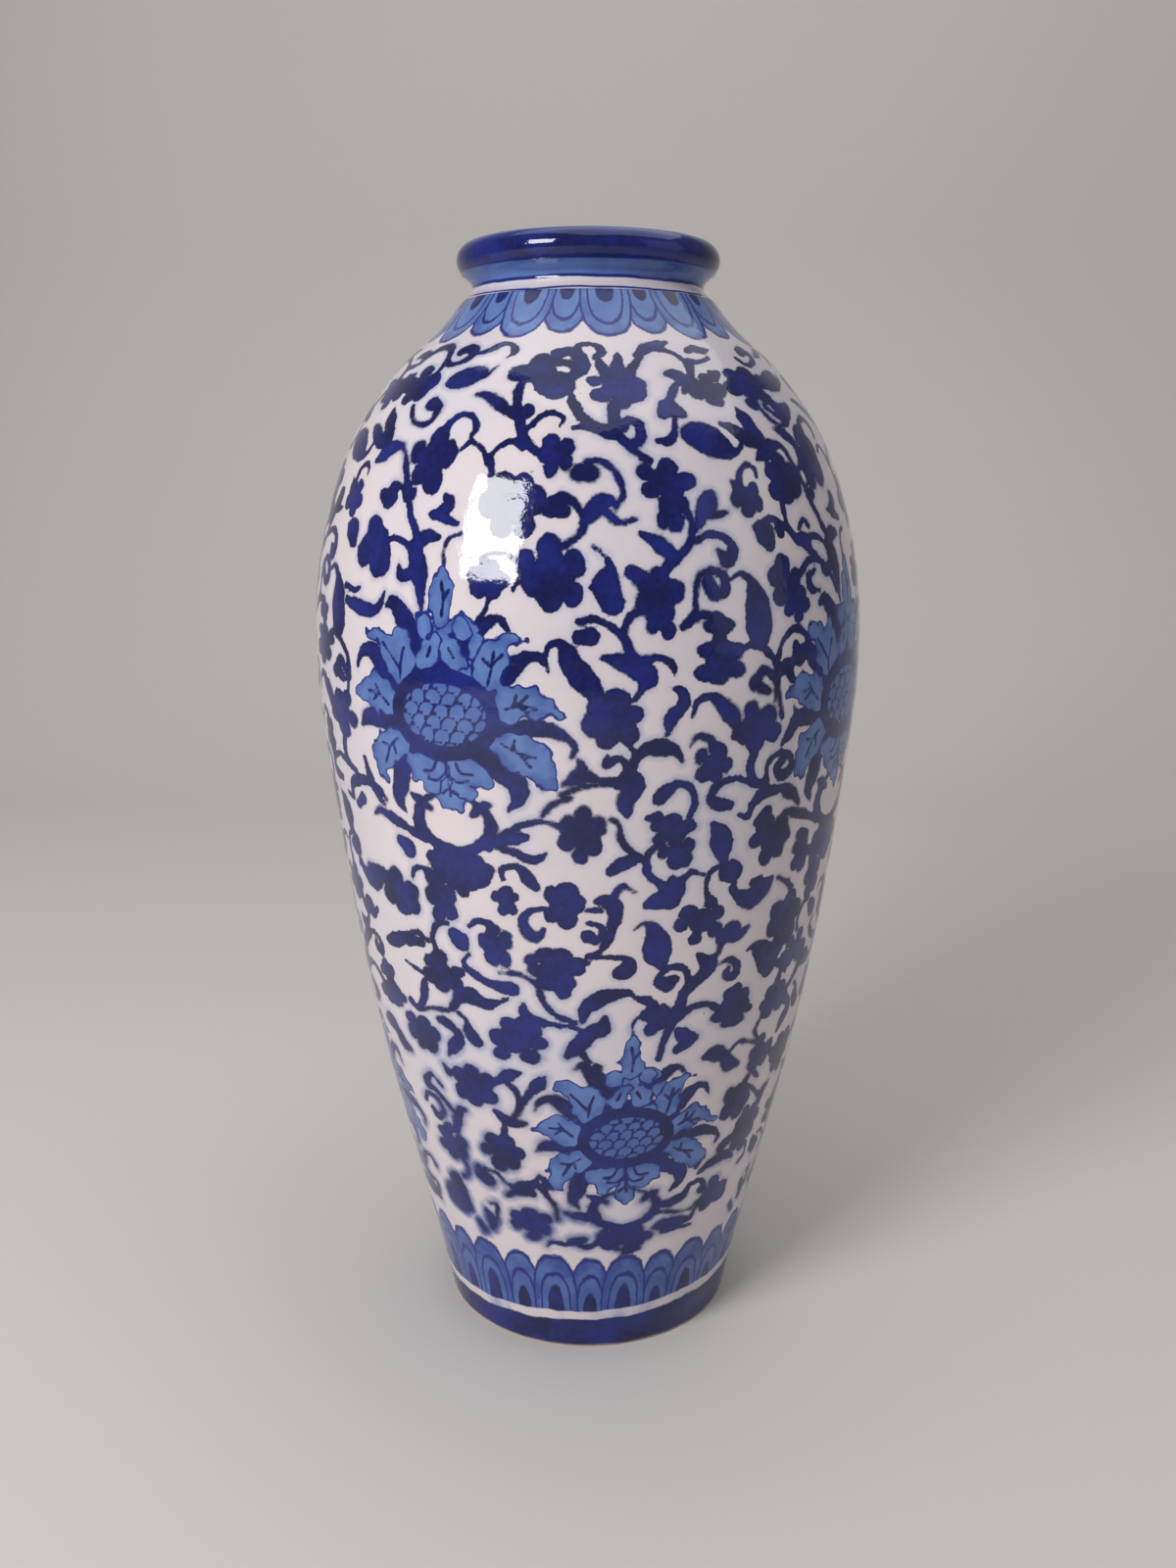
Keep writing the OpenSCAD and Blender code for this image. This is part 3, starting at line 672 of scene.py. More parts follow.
    ((-40.5, 90, 0.9), (-37.6, 88.5, 1), (-36.8, 82.5, 1), (-39, 79.5, 1.2)),
    ((-30, 88.3, 0.9), (-26.5, 87.5, 1), (-23.5, 83.3, 1.2), (-21, 82, 2.2), (-17.6, 83.3, 3.2),
     (-14.6, 86.5, 1.6), (-13.3, 90, 0.7)),
    ((-23.8, 77, 1), (-20.8, 80, 2.2), (-16, 80.5, 2.2)),
    ((-13.2, 84.5, 2), (-11.3, 79.5, 1.2), (-9.3, 74.5, 1), (-9, 68.5, 1.1)),
    ((-12.5, 88.5, 1.6), (-10, 84, 1), (-9.3, 86, 0.6)),
    ((-32.6, 66, 1.4), (-31, 62, 2.8), (-31.4, 57.5, 1.8)), ((-36.8, 58, 1.4), (-35, 54.5, 2)),
    ((-30.5, 70, 0.8), (-28.4, 70.5, 1.2), (-28.8, 64, 1.2), (-31, 60, 1.4)),
    ((-43, 70.5, 5.5), (-46.5, 66, 5), (-41.5, 64.5, 4.5), (-43, 76, 4)),
    ((-12.8, 53.7, 0.7), (-11, 56.2, 1.1), (-7, 55.5, 1.3), (-4, 57.5, 2), (-1.5, 55, 1.3), (2, 56, 1.2),
     (3.4, 60.5, 0.8)),
    ((-4, 59, 1), (-1.5, 58.5, 2)),
    ((-6.5, 72, 0.9), (-3.6, 70.8, 2), (-0.5, 70.5, 2.4), (2.5, 69.5, 1)),
    ((20, 74, 0.9), (24, 73, 2.6), (28.5, 75, 2.4), (30.5, 79.3, 1)),
    ((18.5, 66.5, 1), (21.5, 69.5, 1), (28, 67, 1.1), (33, 66.5, 0.9)),
    ((20, 61.5, 1), (23.5, 62.5, 3), (28, 62.5, 2.6), (33, 61.5, 1.8), (34.5, 66, 0.8)),
    ((24, 59, 2), (29, 58.5, 1.4), (34, 58, 0.9)),
    ((30.5, 79.5, 1.1), (34, 80.5, 1.2), (36.5, 77, 1.3)),
    ((33, 84.5, 1), (37, 87.5, 2.2), (42, 88.5, 2.6), (46, 86, 1.2)),
    ((40, 93.5, 2.6), (44.5, 96.5, 2.6), (47.5, 94, 1.2)),
)


@dataclass(frozen=True)
class Lotus:
    """One of the large pale flowers, drawn in millimetres from its heart.

    Args:
        angle: Angle of the heart in degrees.
        height: Height of the heart in millimetres.
        wide: Width of this flower, 1 for those on the belly.
        tall: Height of this flower, 1 for those on the belly.
        heart: Half width and half height of the heart.
        ground_growth: Size of the dark ground behind the heart, 1 for the heart's own.
        seed_bed: Half width and half height of the bed of seeds.
        seed_step: Step from seed to seed across and up.
        vein_width: Half width of the veins.
        leaf_growth: How much wider the leaves are than listed.
        petal_growth: How much wider the petals are than listed.
        front: Strokes of the front petals.
        middle: Strokes of the petals behind them.
        back: Strokes of the rearmost petals.
        veins: Veins of the petals.
        leaves: Dark leaves between the petals.
        basket: Place, half width and half height of the ring below the flower.
        basket_hollow: Shift, half width and half height of the ring's hollow.
        pods: Blooms below the ring.
        basket_tone: Strength of the ring's paint.
        pod_tone: Strength of the pods' paint.
    """

    angle: float
    height: float
    wide: float
    tall: float

    heart: tuple[float, float] = (22.9, 17.0)
    ground_growth: float = 1.24
    seed_bed: tuple[float, float] = (17.6, 11.2)
    seed_step: tuple[float, float] = (6.5, 4.5)
    vein_width: float = 0.66
    leaf_growth: float = 1.35
    petal_growth: float = 1.06

    front: tuple[Path, ...] = (
        ((0.5, 53, 0.6), (0.2, 47, 3.4), (0.2, 41, 5), (0.6, 35.5, 4)),
        ((-1.5, 26.5, 2.2), (-3.8, 22.5, 4), (-6.5, 19, 4.2)),
        ((-5.4, 30.5, 2.2), (-6.8, 31.5, 3.6), (-7.6, 30, 2.4)),
        ((6.2, 30.5, 2.2), (7.8, 31.5, 3.4), (9, 30, 2.4)),
        ((-18.5, 13, 4), (-17, 20, 6), (-18.5, 26, 3.6), (-16.5, 28, 1.6)),
        ((-21, 18, 5), (-26, 25, 3.4), (-31, 27.3, 2), (-36, 25.3, 0.6)),
        ((18, 13, 4), (19.6, 19, 5.6), (22.4, 25.6, 3.8), (27, 28.3, 1.6), (32, 28, 0.5)),
        ((-24.5, 1, 4.4), (-29, 4.8, 6.4), (-34, 6, 5.6), (-39, 5.4, 3.2), (-44, 4, 0.6)),
        ((23.5, 3, 4.4), (28, 6, 6), (33, 6.3, 5), (38.5, 4.6, 3), (46, 1.5, 0.6)),
        ((20.5, -8.5, 3), (27, -11.5, 6.2), (33, -14.5, 6.4), (37.6, -18.4, 4.4), (39.5, -23.5, 1.2)),
        ((-18.5, -11, 4), (-24, -13, 6.2), (-29.4, -16.4, 6), (-31, -22.5, 3.6), (-29.5, -27.5, 0.8)),
        ((-3, -20, 4.6), (-8.5, -21, 5.6), (-13.6, -19.5, 4.2), (-16, -18, 2)),
        ((-6, -25, 4), (-9, -27, 2.4)),
    )
    middle: tuple[Path, ...] = (
        ((-10.5, 33.5, 0.8), (-7.5, 32.5, 2.8), (-4, 31, 3.4), (-2.5, 28, 2)),
        ((2.6, 30, 2.4), (6.5, 32, 3.4), (10, 32.2, 3), (13.5, 31.5, 0.9)),
        ((0.8, 28, 2.2), (3, 23.5, 4.4), (6, 19.6, 4)),
        ((3.6, -20, 4.6), (9, -21, 5.6), (13.6, -21.5, 4.2), (16.4, -23.5, 1.8)),
        ((6, -25, 4), (9.4, -27.4, 2.4)),
        ((15, 24.5, 3.4), (17, 20, 3)),
    )
    back: tuple[Path, ...] = (
        ((0, -24, 5.6), (1, -30, 5), (1.4, -34.6, 2.2)),
        ((6.5, 14.5, 3), (10, 13.8, 3.4), (13.4, 12.6, 2)),
    )
    veins: tuple[tuple[tuple[float, float], ...], ...] = (
        ((0.6, 35), (1, 41), (-0.2, 47)), ((1.2, 41), (3.2, 44)),
        ((-4, 24), (-5.5, 20.5)), ((3.4, 24), (5.5, 20.5)),
        ((-18.4, 12), (-17.8, 18), (-16.2, 23)),
        ((-18.8, 15.5), (-23, 20), (-27, 24)),
        ((18.5, 12), (20, 17.5), (21, 23.5)), ((20, 17.5), (16.8, 21)),
        ((20.4, 19), (24, 22.5)),
        ((-25, 1.5), (-30, 5), (-36, 5.5)), ((-30, 5), (-33.5, 2.4)),
        ((-29, 4.6), (-32, 8.4)),
        ((25, 3.6), (30, 5), (36, 4)), ((29.5, 5), (33, 8.6)),
        ((28, 4.6), (29, 8.8)), ((30, 5), (33.5, 1.8)),
        ((23, -9), (29, -12), (35, -13.5)), ((29, -12), (33, -17)),
        ((27, -11), (27.6, -7.6)),
        ((-21, -10.5), (-25.6, -14), (-29, -20.5)), ((-25.6, -14), (-30, -13.4)),
        ((-24, -12.6), (-23, -16.6)),
        ((0, -17), (0.4, -23), (1.2, -30)),
        ((0.2, -21), (-4, -24.5), (-8, -24)),
        ((0.4, -21.5), (4.6, -24.5), (9, -23.6)),
        ((-4, -17.6), (-6, -21), (-10, -21.5)),
        ((4.4, -17.6), (6.4, -21), (11, -21)), ((0.8, -27), (-2.4, -29.5)),
        ((1, -27), (4.4, -29)),
    )
    leaves: tuple[Path, ...] = (
        ((-25.4, 36.8, 0.6), (-21.8, 38.6, 1.7), (-17.4, 34.6, 2.8), (-13.6, 28.5, 3.6), (-10.6, 21, 2.8)),
        ((-43, 14, 0.6), (-40.5, 19, 1.3), (-35.6, 20.8, 2), (-30.6, 18.6, 2.8), (-25.6, 14, 3.2)),
        ((-42, -8, 0.6), (-37.6, -4.6, 2.4), (-31, -4, 2.8), (-24, -6, 2.4)),
        ((-17.6, -12.6, 2.8), (-19.6, -19, 3.2), (-22, -28, 3.2), (-23.4, -34, 2), (-20.6, -38.6, 0.5)),
        ((16, 11, 2.8), (24, 14.5, 2.8), (29, 19.5, 2.4), (33.6, 22.2, 1.6), (38, 21.6, 1.2),
         (40.4, 17, 0.5)),
        ((7.6, 21, 2.4), (12.6, 28.4, 2.6), (18, 33, 2), (22.6, 34.6, 1.2), (26.8, 30.4, 0.5)),
        ((23, -5, 2.4), (31, -3, 2.4), (39.6, -3.2, 2.2), (45.8, -5.6, 1.4), (49, -9.4, 0.9),
         (47.4, -13, 0.5)),
        ((14, -15.6, 3), (22, -19, 3), (27.6, -22.6, 3), (28, -28.6, 2), (23.6, -33.4, 0.5)),
        ((37, -24, 1), (41, -19.6, 0.8)),
        ((-9, 25, 2.6), (-3, 31, 2.6), (3, 31, 2.6), (9, 26, 2.6)),
        ((0.2, 53, 0.5), (-0.2, 57.6, 0.5), (2, 61.6, 0.6), (6, 63, 0.5)),
        ((-16.6, -31.6, 0.8), (-13, -33, 1.6), (-8, -35.5, 1)),
        ((16.5, -32, 0.8), (13, -33.4, 1.8), (9.5, -36.4, 1)),
    )
    basket: tuple[float, float, float, float] = (1, -40.6, 18.4, 12.2)
    basket_hollow: tuple[float, float, float, float] = (0.2, 1.2, 12.8, 9.6)
    pods: tuple[tuple[float, ...], ...] = (
        (1.6, -57.6, 27, 14, 0, 6), (3.4, -64, 13, 8, 0, 4), (-6, -56, 12, 12, 30, 5),
    )
    basket_tone: float = 0.2
    pod_tone: float = 0.1

    def place(self, canvas: Canvas, point: Sequence[float]) -> tuple[float, float]:
        """Find where a point of the flower lies on the jar.

        Args:
            canvas: The canvas.
            point: The point's place across and up from the heart.

        Returns:
            Its angle in degrees and its height.
        """
        height = self.height + point[1] * self.tall
        radius = float(np.interp(height, canvas.heights, canvas.radii))
        return self.angle + math.degrees(point[0] * self.wide / radius), height

    def path(self, canvas: Canvas, path: Path, growth: float) -> Path:
        """Return one of the flower's strokes where it lies on the jar, its width grown."""
        mean = (self.wide + self.tall) / 2 * growth
        return tuple((*self.place(canvas, p), p[2] * mean) for p in path)

    def paint(self, brush: Brush) -> None:
        """Paint the flower: leaves, petals, heart, seeds, basket and pods.

        Args:
            brush: The brush to paint with.
        """
        canvas = brush.canvas
        groups = ((Layer.INK, self.leaves), (Layer.PETAL_FRONT, self.front),
                  (Layer.PETAL_MIDDLE, self.middle), (Layer.PETAL_BACK, self.back))
        for layer, paths in groups:
            for path in paths:
                is_leaf = layer is Layer.INK
                tone = brush.rng.uniform(-1, 1) if is_leaf else None
                growth = self.leaf_growth if is_leaf else self.petal_growth
                brush.stroke(layer, self.path(canvas, path, growth), tone)
        for path in self.veins:
            thin = tuple((*self.place(canvas, p), self.vein_width) for p in path)
            brush.stroke(Layer.OVER, thin)
        self._heart(brush)
        x, y, wide, tall = self.basket
        shares = (self.wide, self.tall) * 2
        hollow = tuple(v * share for v, share in zip(self.basket_hollow, shares))
        ring = (*self.place(canvas, (x, y)), wide * self.wide, tall * self.tall)
        brush.oval(Layer.INK, ring, hollow, self.basket_tone)
        for pod in self.pods:
            sizes = (pod[2] * self.wide, pod[3] * self.tall, pod[4], pod[5])
            brush.bloom((*self.place(canvas, pod), *sizes), self.pod_tone)

    def _heart(self, brush: Brush) -> None:
        """Paint the dark heart over the petals and the pale seeds on it."""
        wide, tall = self.heart
        grown = self.ground_growth
        centre = self.angle, self.height
        brush.oval(Layer.INK, (*centre, grown * wide * self.wide, grown * tall * self.tall), tone=0.0)
        brush.oval(Layer.OVER, (*centre, wide * self.wide, tall * self.tall))
        bed = self.seed_bed[0] * self.wide, self.seed_bed[1] * self.tall
        seed = self.seed_step[0] * self.wide, self.seed_step[1] * self.tall
        brush.scales(centre, bed, seed)


@dataclass(frozen=True)
class Lappets:
    """A border of petals that overlap like roof tiles.

    Args:
        layer: The layer to paint on.
        first: Angle of one petal in degrees.
        count: Petals round the jar.
        base: Height of the petals' base in millimetres.
        tip: Height of the petals' tips.
        half_turn: Half width of a petal in degrees.
        half_width: Half width of a petal in millimetres.
        roundness: 2 for a half oval, more for a squarer petal.
        core: Half width and height of the dark heart.
        sway: How far a petal may stand aside, in degrees.
        clear: Gap between a front petal and the heart of one behind.
    """

    layer: Layer
    first: float
    count: int
    base: float
    tip: float
    half_turn: float
    half_width: float
    roundness: float
    core: tuple[float, float]
    sway: float = 0.35
    clear: float = 0.6

    def paint(self, brush: Brush) -> None:
        """Paint the border all round.

        Args:
            brush: The brush to paint with.
        """
        canvas = brush.canvas
        ends = np.interp([self.base, self.tip], canvas.heights, canvas.arcs)
        length = abs(ends[1] - ends[0])
        for k in range(self.count):
            shift = brush.rng.uniform(-self.sway, self.sway)
            centre = math.radians(self.first + FULL_DEG / self.count * k + shift)
            spot = np.array([centre]), np.array([(self.base + self.tip) / 2])
            rows, columns, at, _ = canvas.around(*spot, length + self.half_width)
            across = np.abs(at[None, :] - centre) / math.radians(self.half_turn)
            along = np.abs(canvas.arcs[rows] - ends[0])[:, None]
            p = self.roundness
            shape = ((across**p + (along / length) ** p) ** (1 / p) - 1) * self.half_width
            canvas.lay(self.layer, rows, columns, shape)
            wide, tall = self.core
            heart = (np.hypot(across * self.half_width / wide, along / tall) - 1) * wide
            if self.layer is Layer.LAPPET_BACK:
                cover = canvas.layers[Layer.LAPPET_FRONT][np.ix_(rows, columns % COLUMNS)]
                heart = np.maximum(heart, self.clear - cover)
            canvas.lay(Layer.OVER, rows, columns, heart)


@dataclass(frozen=True)
class Painter:
    """Paints the whole jar, one quarter at a time.

    Args:
        seed: Seed of the hand's small changes.
        turn_change: How far a motif may stand aside, in degrees.
        rise_change: How far a motif may stand higher or lower, in millimetres.
        size_change: How much wider or narrower a bloom may be, as a share.
        spin_change: How far a bloom may turn, in degrees.
        left_seam: Angle left of which the quarter right of the front stays bare.
        right_seam: Angle right of which only the front quarter is painted.
        bleed_top: Height up to which the blue ran in the firing.
        bleed_height: Height over which that running fades in.
        bleed_turn: Angle of its strongest place, in radians left of the front.
        lotuses: Angle, height, width and height of each quarter's lotuses.
        borders: The borders at the neck and the foot.
    """

    seed: int = 688
    turn_change: float = 0.5
    rise_change: float = 0.7
    size_change: float = 0.07
    spin_change: float = 25.0
    left_seam: float = -42.0
    right_seam: float = 38.5
    bleed_top: float = 170.0
    bleed_height: float = 90.0
    bleed_turn: float = 0.9
    lotuses: tuple[tuple[float, ...], ...] = ((-27.5, 279, 1.0, 1.0), (10.0, 109, 0.85, 0.88))
    borders: tuple[Lappets, ...] = (
        Lappets(Layer.LAPPET_FRONT, 6.5, 12, 429, 410.2, 10.0, 10.0, 2.1, (3.8, 7)),
        Lappets(Layer.LAPPET_BACK, 21.5, 12, 429, 411.5, 8.8, 9.0, 2.0, (3.2, 5.5)),
        Lappets(Layer.LAPPET_FRONT, 12.5, 15, 20, 48.5, 7.7, 9.2, 2.5, (3.5, 14)),
        Lappets(Layer.LAPPET_BACK, 0.5, 15, 20, 48, 7.2, 8.8, 2.2, (3.0, 10)),
    )

    def keeps(self, quarter: int, angle: float) -> bool:
        """Tell whether a quarter paints a motif, so that the seams don't crowd.

        Args:
            quarter: Number of the quarter.
            angle: The motif's angle from the quarter's middle, in degrees.

        Returns:
            Whether it is painted.
        """
        if angle > self.right_seam:
            return quarter == 0
        if angle < self.left_seam:
            return quarter != 1
        return True

    def paint(self, canvas: Canvas) -> None:
        """Paint scroll, lotuses and borders.

        Args:
            canvas: The canvas to paint on.
        """
        brush = Brush(canvas, self.seed)
        for quarter in range(QUARTERS):
            self._scroll(brush, quarter)
            for angle, *sizes in self.lotuses:
                Lotus(angle + QUARTER_DEG * quarter, *sizes).paint(brush)
        for border in self.borders:
            border.paint(brush)
        self._bleed(canvas)

    def _scroll(self, brush: Brush, quarter: int) -> None:
        """Paint one quarter's blooms and scrolls, each a little changed.

        Args:
            brush: The brush to paint with.
            quarter: Number of the quarter, 0 in front.
        """
        change = 0.0 if quarter == 0 else 1.0
        for place in BLOOMS:
            turn, rise = brush.rng.uniform(-1, 1, 2) * change
            spread = 1 + self.size_change * brush.rng.uniform(-1, 1) * change
            tone = brush.rng.uniform(-1, 1)
            if not self.keeps(quarter, place[0]):
                continue
            angle = place[0] + QUARTER_DEG * quarter + turn * self.turn_change
            rest = (place[2] * spread, place[3] / spread, place[4] + self.spin_change * turn, place[5])
            brush.bloom((angle, place[1] + rise * self.rise_change, *rest), tone)
        for path in STROKES:
            turn, rise = brush.rng.uniform(-1, 1, 2) * change
            tone = brush.rng.uniform(-1, 1)
            if not self.keeps(quarter, sum(p[0] for p in path) / len(path)):
                continue
            shift = QUARTER_DEG * quarter + turn * self.turn_change
            lift = rise * self.rise_change
            brush.stroke(Layer.INK, tuple((a + shift, z + lift, w) for a, z, w in path), tone)

    def _bleed(self, canvas: Canvas) -> None:
        """Mark where the blue ran in the firing, low on the left side.

        Args:
            canvas: The canvas to paint on.
        """
        angles = canvas.angles()[None, :] + self.bleed_turn
        heights = canvas.heights[:, None]
        side = 0.5 + 0.5 * np.cos(angles)
        low = np.clip((self.bleed_top - heights) / self.bleed_height, 0, 1)
        canvas.layers[Layer.BLEED] = (low * side**2).astype(np.float32)


class Wheel:
    """Turns outlines into closed round pieces, as a potter's wheel does."""

    merge = 1e-5
    tiny = 1e-6
    sharp = math.radians(38)
    start_r = 0.1
    # unevenness of the hand in millimetres: oval, three-sided, fine rings and broad rings
    oval_out, side_out, fine_out, broad_out = 0.11, 0.07, 0.045, 0.06
    oval_turn, side_lean, fine_step, broad_step, broad_turn = 0.8, 47, 1.9, 5.3, 0.7
    # it fades in above the foot, in millimetres, and out towards the axis, in metres
    fade_from, fade_over, fade_r = 2, 10, 0.03
    # the flat sheet: two strips for the skin, a narrow one for the rest, and the margins
    strip_v, strip_step, rest_from, rest_v = 0.45, 0.47, 0.94, 0.05
    wide_u, left_u, low_v = 0.98, 0.01, 0.004

    @classmethod
    def turn(cls, name: str, outline: Sequence[tuple[float, float]],
             steps: int = COLUMNS) -> bpy.types.Object:
        """Spin a closed outline all the way round.

        Args:
            name: Name of the piece.
            outline: Radius and height of each point in millimetres.
            steps: Steps round the piece.

        Returns:
            The piece, smooth, with each vertex marked with its point's number.
        """
        bpy.ops.object.select_all(action="DESELECT")
        bpy.ops.mesh.primitive_circle_add(vertices=len(outline), radius=cls.start_r, fill_type="NOTHING")
        piece = bpy.context.active_object
        piece.name = name
        piece.data.name = name
        rows = piece.data.attributes.new(ROW_MARK, "INT", "POINT")
        rows.data.foreach_set("value", np.arange(len(outline), dtype=np.int32))
        for vertex, (radius, height) in zip(piece.data.vertices, outline):
            vertex.co = (0.0, -radius * MM, height * MM)
        bpy.ops.object.mode_set(mode="EDIT")
        bpy.ops.mesh.select_all(action="SELECT")
        bpy.ops.mesh.spin(steps=steps // QUARTERS, angle=TURN / QUARTERS, center=(0, 0, 0), axis=(0, 0, 1))
        for share in (QUARTERS, QUARTERS // 2):
            bpy.ops.mesh.select_all(action="SELECT")
            bpy.ops.mesh.duplicate()
            bpy.ops.transform.rotate(value=TURN / share, orient_axis="Z", center_override=(0, 0, 0))
        bpy.ops.mesh.select_all(action="SELECT")
        bpy.ops.mesh.remove_doubles(threshold=cls.merge)
        bpy.ops.mesh.normals_make_consistent(inside=False)
        bpy.ops.object.mode_set(mode="OBJECT")
        bpy.ops.object.shade_smooth_by_angle(angle=cls.sharp)
        return piece

    @staticmethod
    def points(piece: bpy.types.Object) -> np.ndarray:
        """Return the places of a piece's vertices.

        Args:
            piece: The piece.

        Returns:
            One row for each vertex.
        """
        places = np.empty(len(piece.data.vertices) * 3)
        piece.data.vertices.foreach_get("co", places)
        return places.reshape(-1, 3)

    @classmethod
    def grid(cls, piece: bpy.types.Object, steps: int = COLUMNS) -> tuple[np.ndarray, np.ndarray]:
        """Return the row and the column of each vertex.

        Args:
            piece: A turned piece.
            steps: Steps round the piece.

        Returns:
            Rows and columns.
        """
        rows = np.empty(len(piece.data.vertices), np.int32)
        piece.data.attributes[ROW_MARK].data.foreach_get("value", rows)
        x, y, _ = cls.points(piece).T
        columns = np.round(np.arctan2(x, -y) / TURN * steps).astype(int) % steps
        return rows, columns

    @classmethod
    def throw(cls, piece: bpy.types.Object) -> None:
        """Give a piece the slight unevenness of the potter's hand.

        Args:
            piece: A turned piece.
        """
        places = cls.points(piece)
        x, y, z = places.T
        angle, height = np.arctan2(x, -y), z / MM
        drift = (cls.oval_out * np.sin(2 * angle + cls.oval_turn)
                 + cls.side_out * np.sin(3 * angle + height / cls.side_lean))
        rings = (cls.fine_out * np.sin(height / cls.fine_step + angle)
                 + cls.broad_out * np.sin(height / cls.broad_step - cls.broad_turn))
        radius = np.maximum(np.hypot(x, y), cls.tiny)
        fade = np.clip((height - cls.fade_from) / cls.fade_over, 0, 1) * np.clip(radius / cls.fade_r, 0, 1)
        grow = 1 + (drift + rings) * fade * MM / radius
        places[:, 0] *= grow
        places[:, 1] *= grow
        piece.data.vertices.foreach_set("co", places.ravel())
        piece.data.update()

    @classmethod
    def unwrap(cls, piece: bpy.types.Object, outer: int, steps: int = COLUMNS) -> None:
        """Lay the outer skin flat in two strips, the rest in a narrow one.

        Args:
            piece: A turned piece.
            outer: Points of the outline on the outer skin, from its first.
            steps: Steps round the piece.
        """
        rows, columns = cls.grid(piece, steps)
        mesh = piece.data
        count = int(rows.max()) + 1
        corners = np.empty(len(mesh.loops), np.int32)
        mesh.loops.foreach_get("vertex_index", corners)
        row, column = rows[corners].reshape(-1, 4), columns[corners].reshape(-1, 4)
        cell = np.where(column.max(1) - column.min(1) > 1, steps - 1, column.min(1))[:, None]
        band = np.where(row.max(1) - row.min(1) > 1, count - 1, row.min(1))[:, None]
        right, above = (column - cell) % steps, (row - band) % count
        half = steps // 2
        skin = band < outer - 1
        strip = cell // half
        u_skin = (cell % half + right) / half
        v_skin = (band + above) / (outer - 1) * cls.strip_v + cls.strip_step * strip
        u_rest = (cell + right) / steps
        v_rest = cls.rest_from + cls.rest_v * (band + above - outer + 1) / (count - outer + 1)
        u = np.where(skin, u_skin, u_rest) * cls.wide_u + cls.left_u
        v = np.where(skin, v_skin, v_rest) + cls.low_v
        sheet = mesh.uv_layers.new(name=BAKE_MAP)
        sheet.uv.foreach_set("vector", np.stack([u, v], -1).astype(np.float32).ravel())

    @staticmethod
    def give(piece: bpy.types.Object, canvas: Canvas, first: int, outer: int) -> None:
        """Hand a piece its part of the painting.

        Args:
            piece: A turned piece.
            canvas: The painted canvas.
            first: The canvas row where the piece's skin starts.
            outer: Rows of the skin.
        """
        rows, columns = Wheel.grid(piece)
        skin = rows < outer
        for layer, painted in canvas.layers.items():
            values = np.full(len(rows), canvas.blank(layer), np.float32)
            values[skin] = painted[rows[skin] + first, columns[skin]]
            mark = piece.data.attributes.new(layer.value, "FLOAT", "POINT")
            mark.data.foreach_set("value", values)


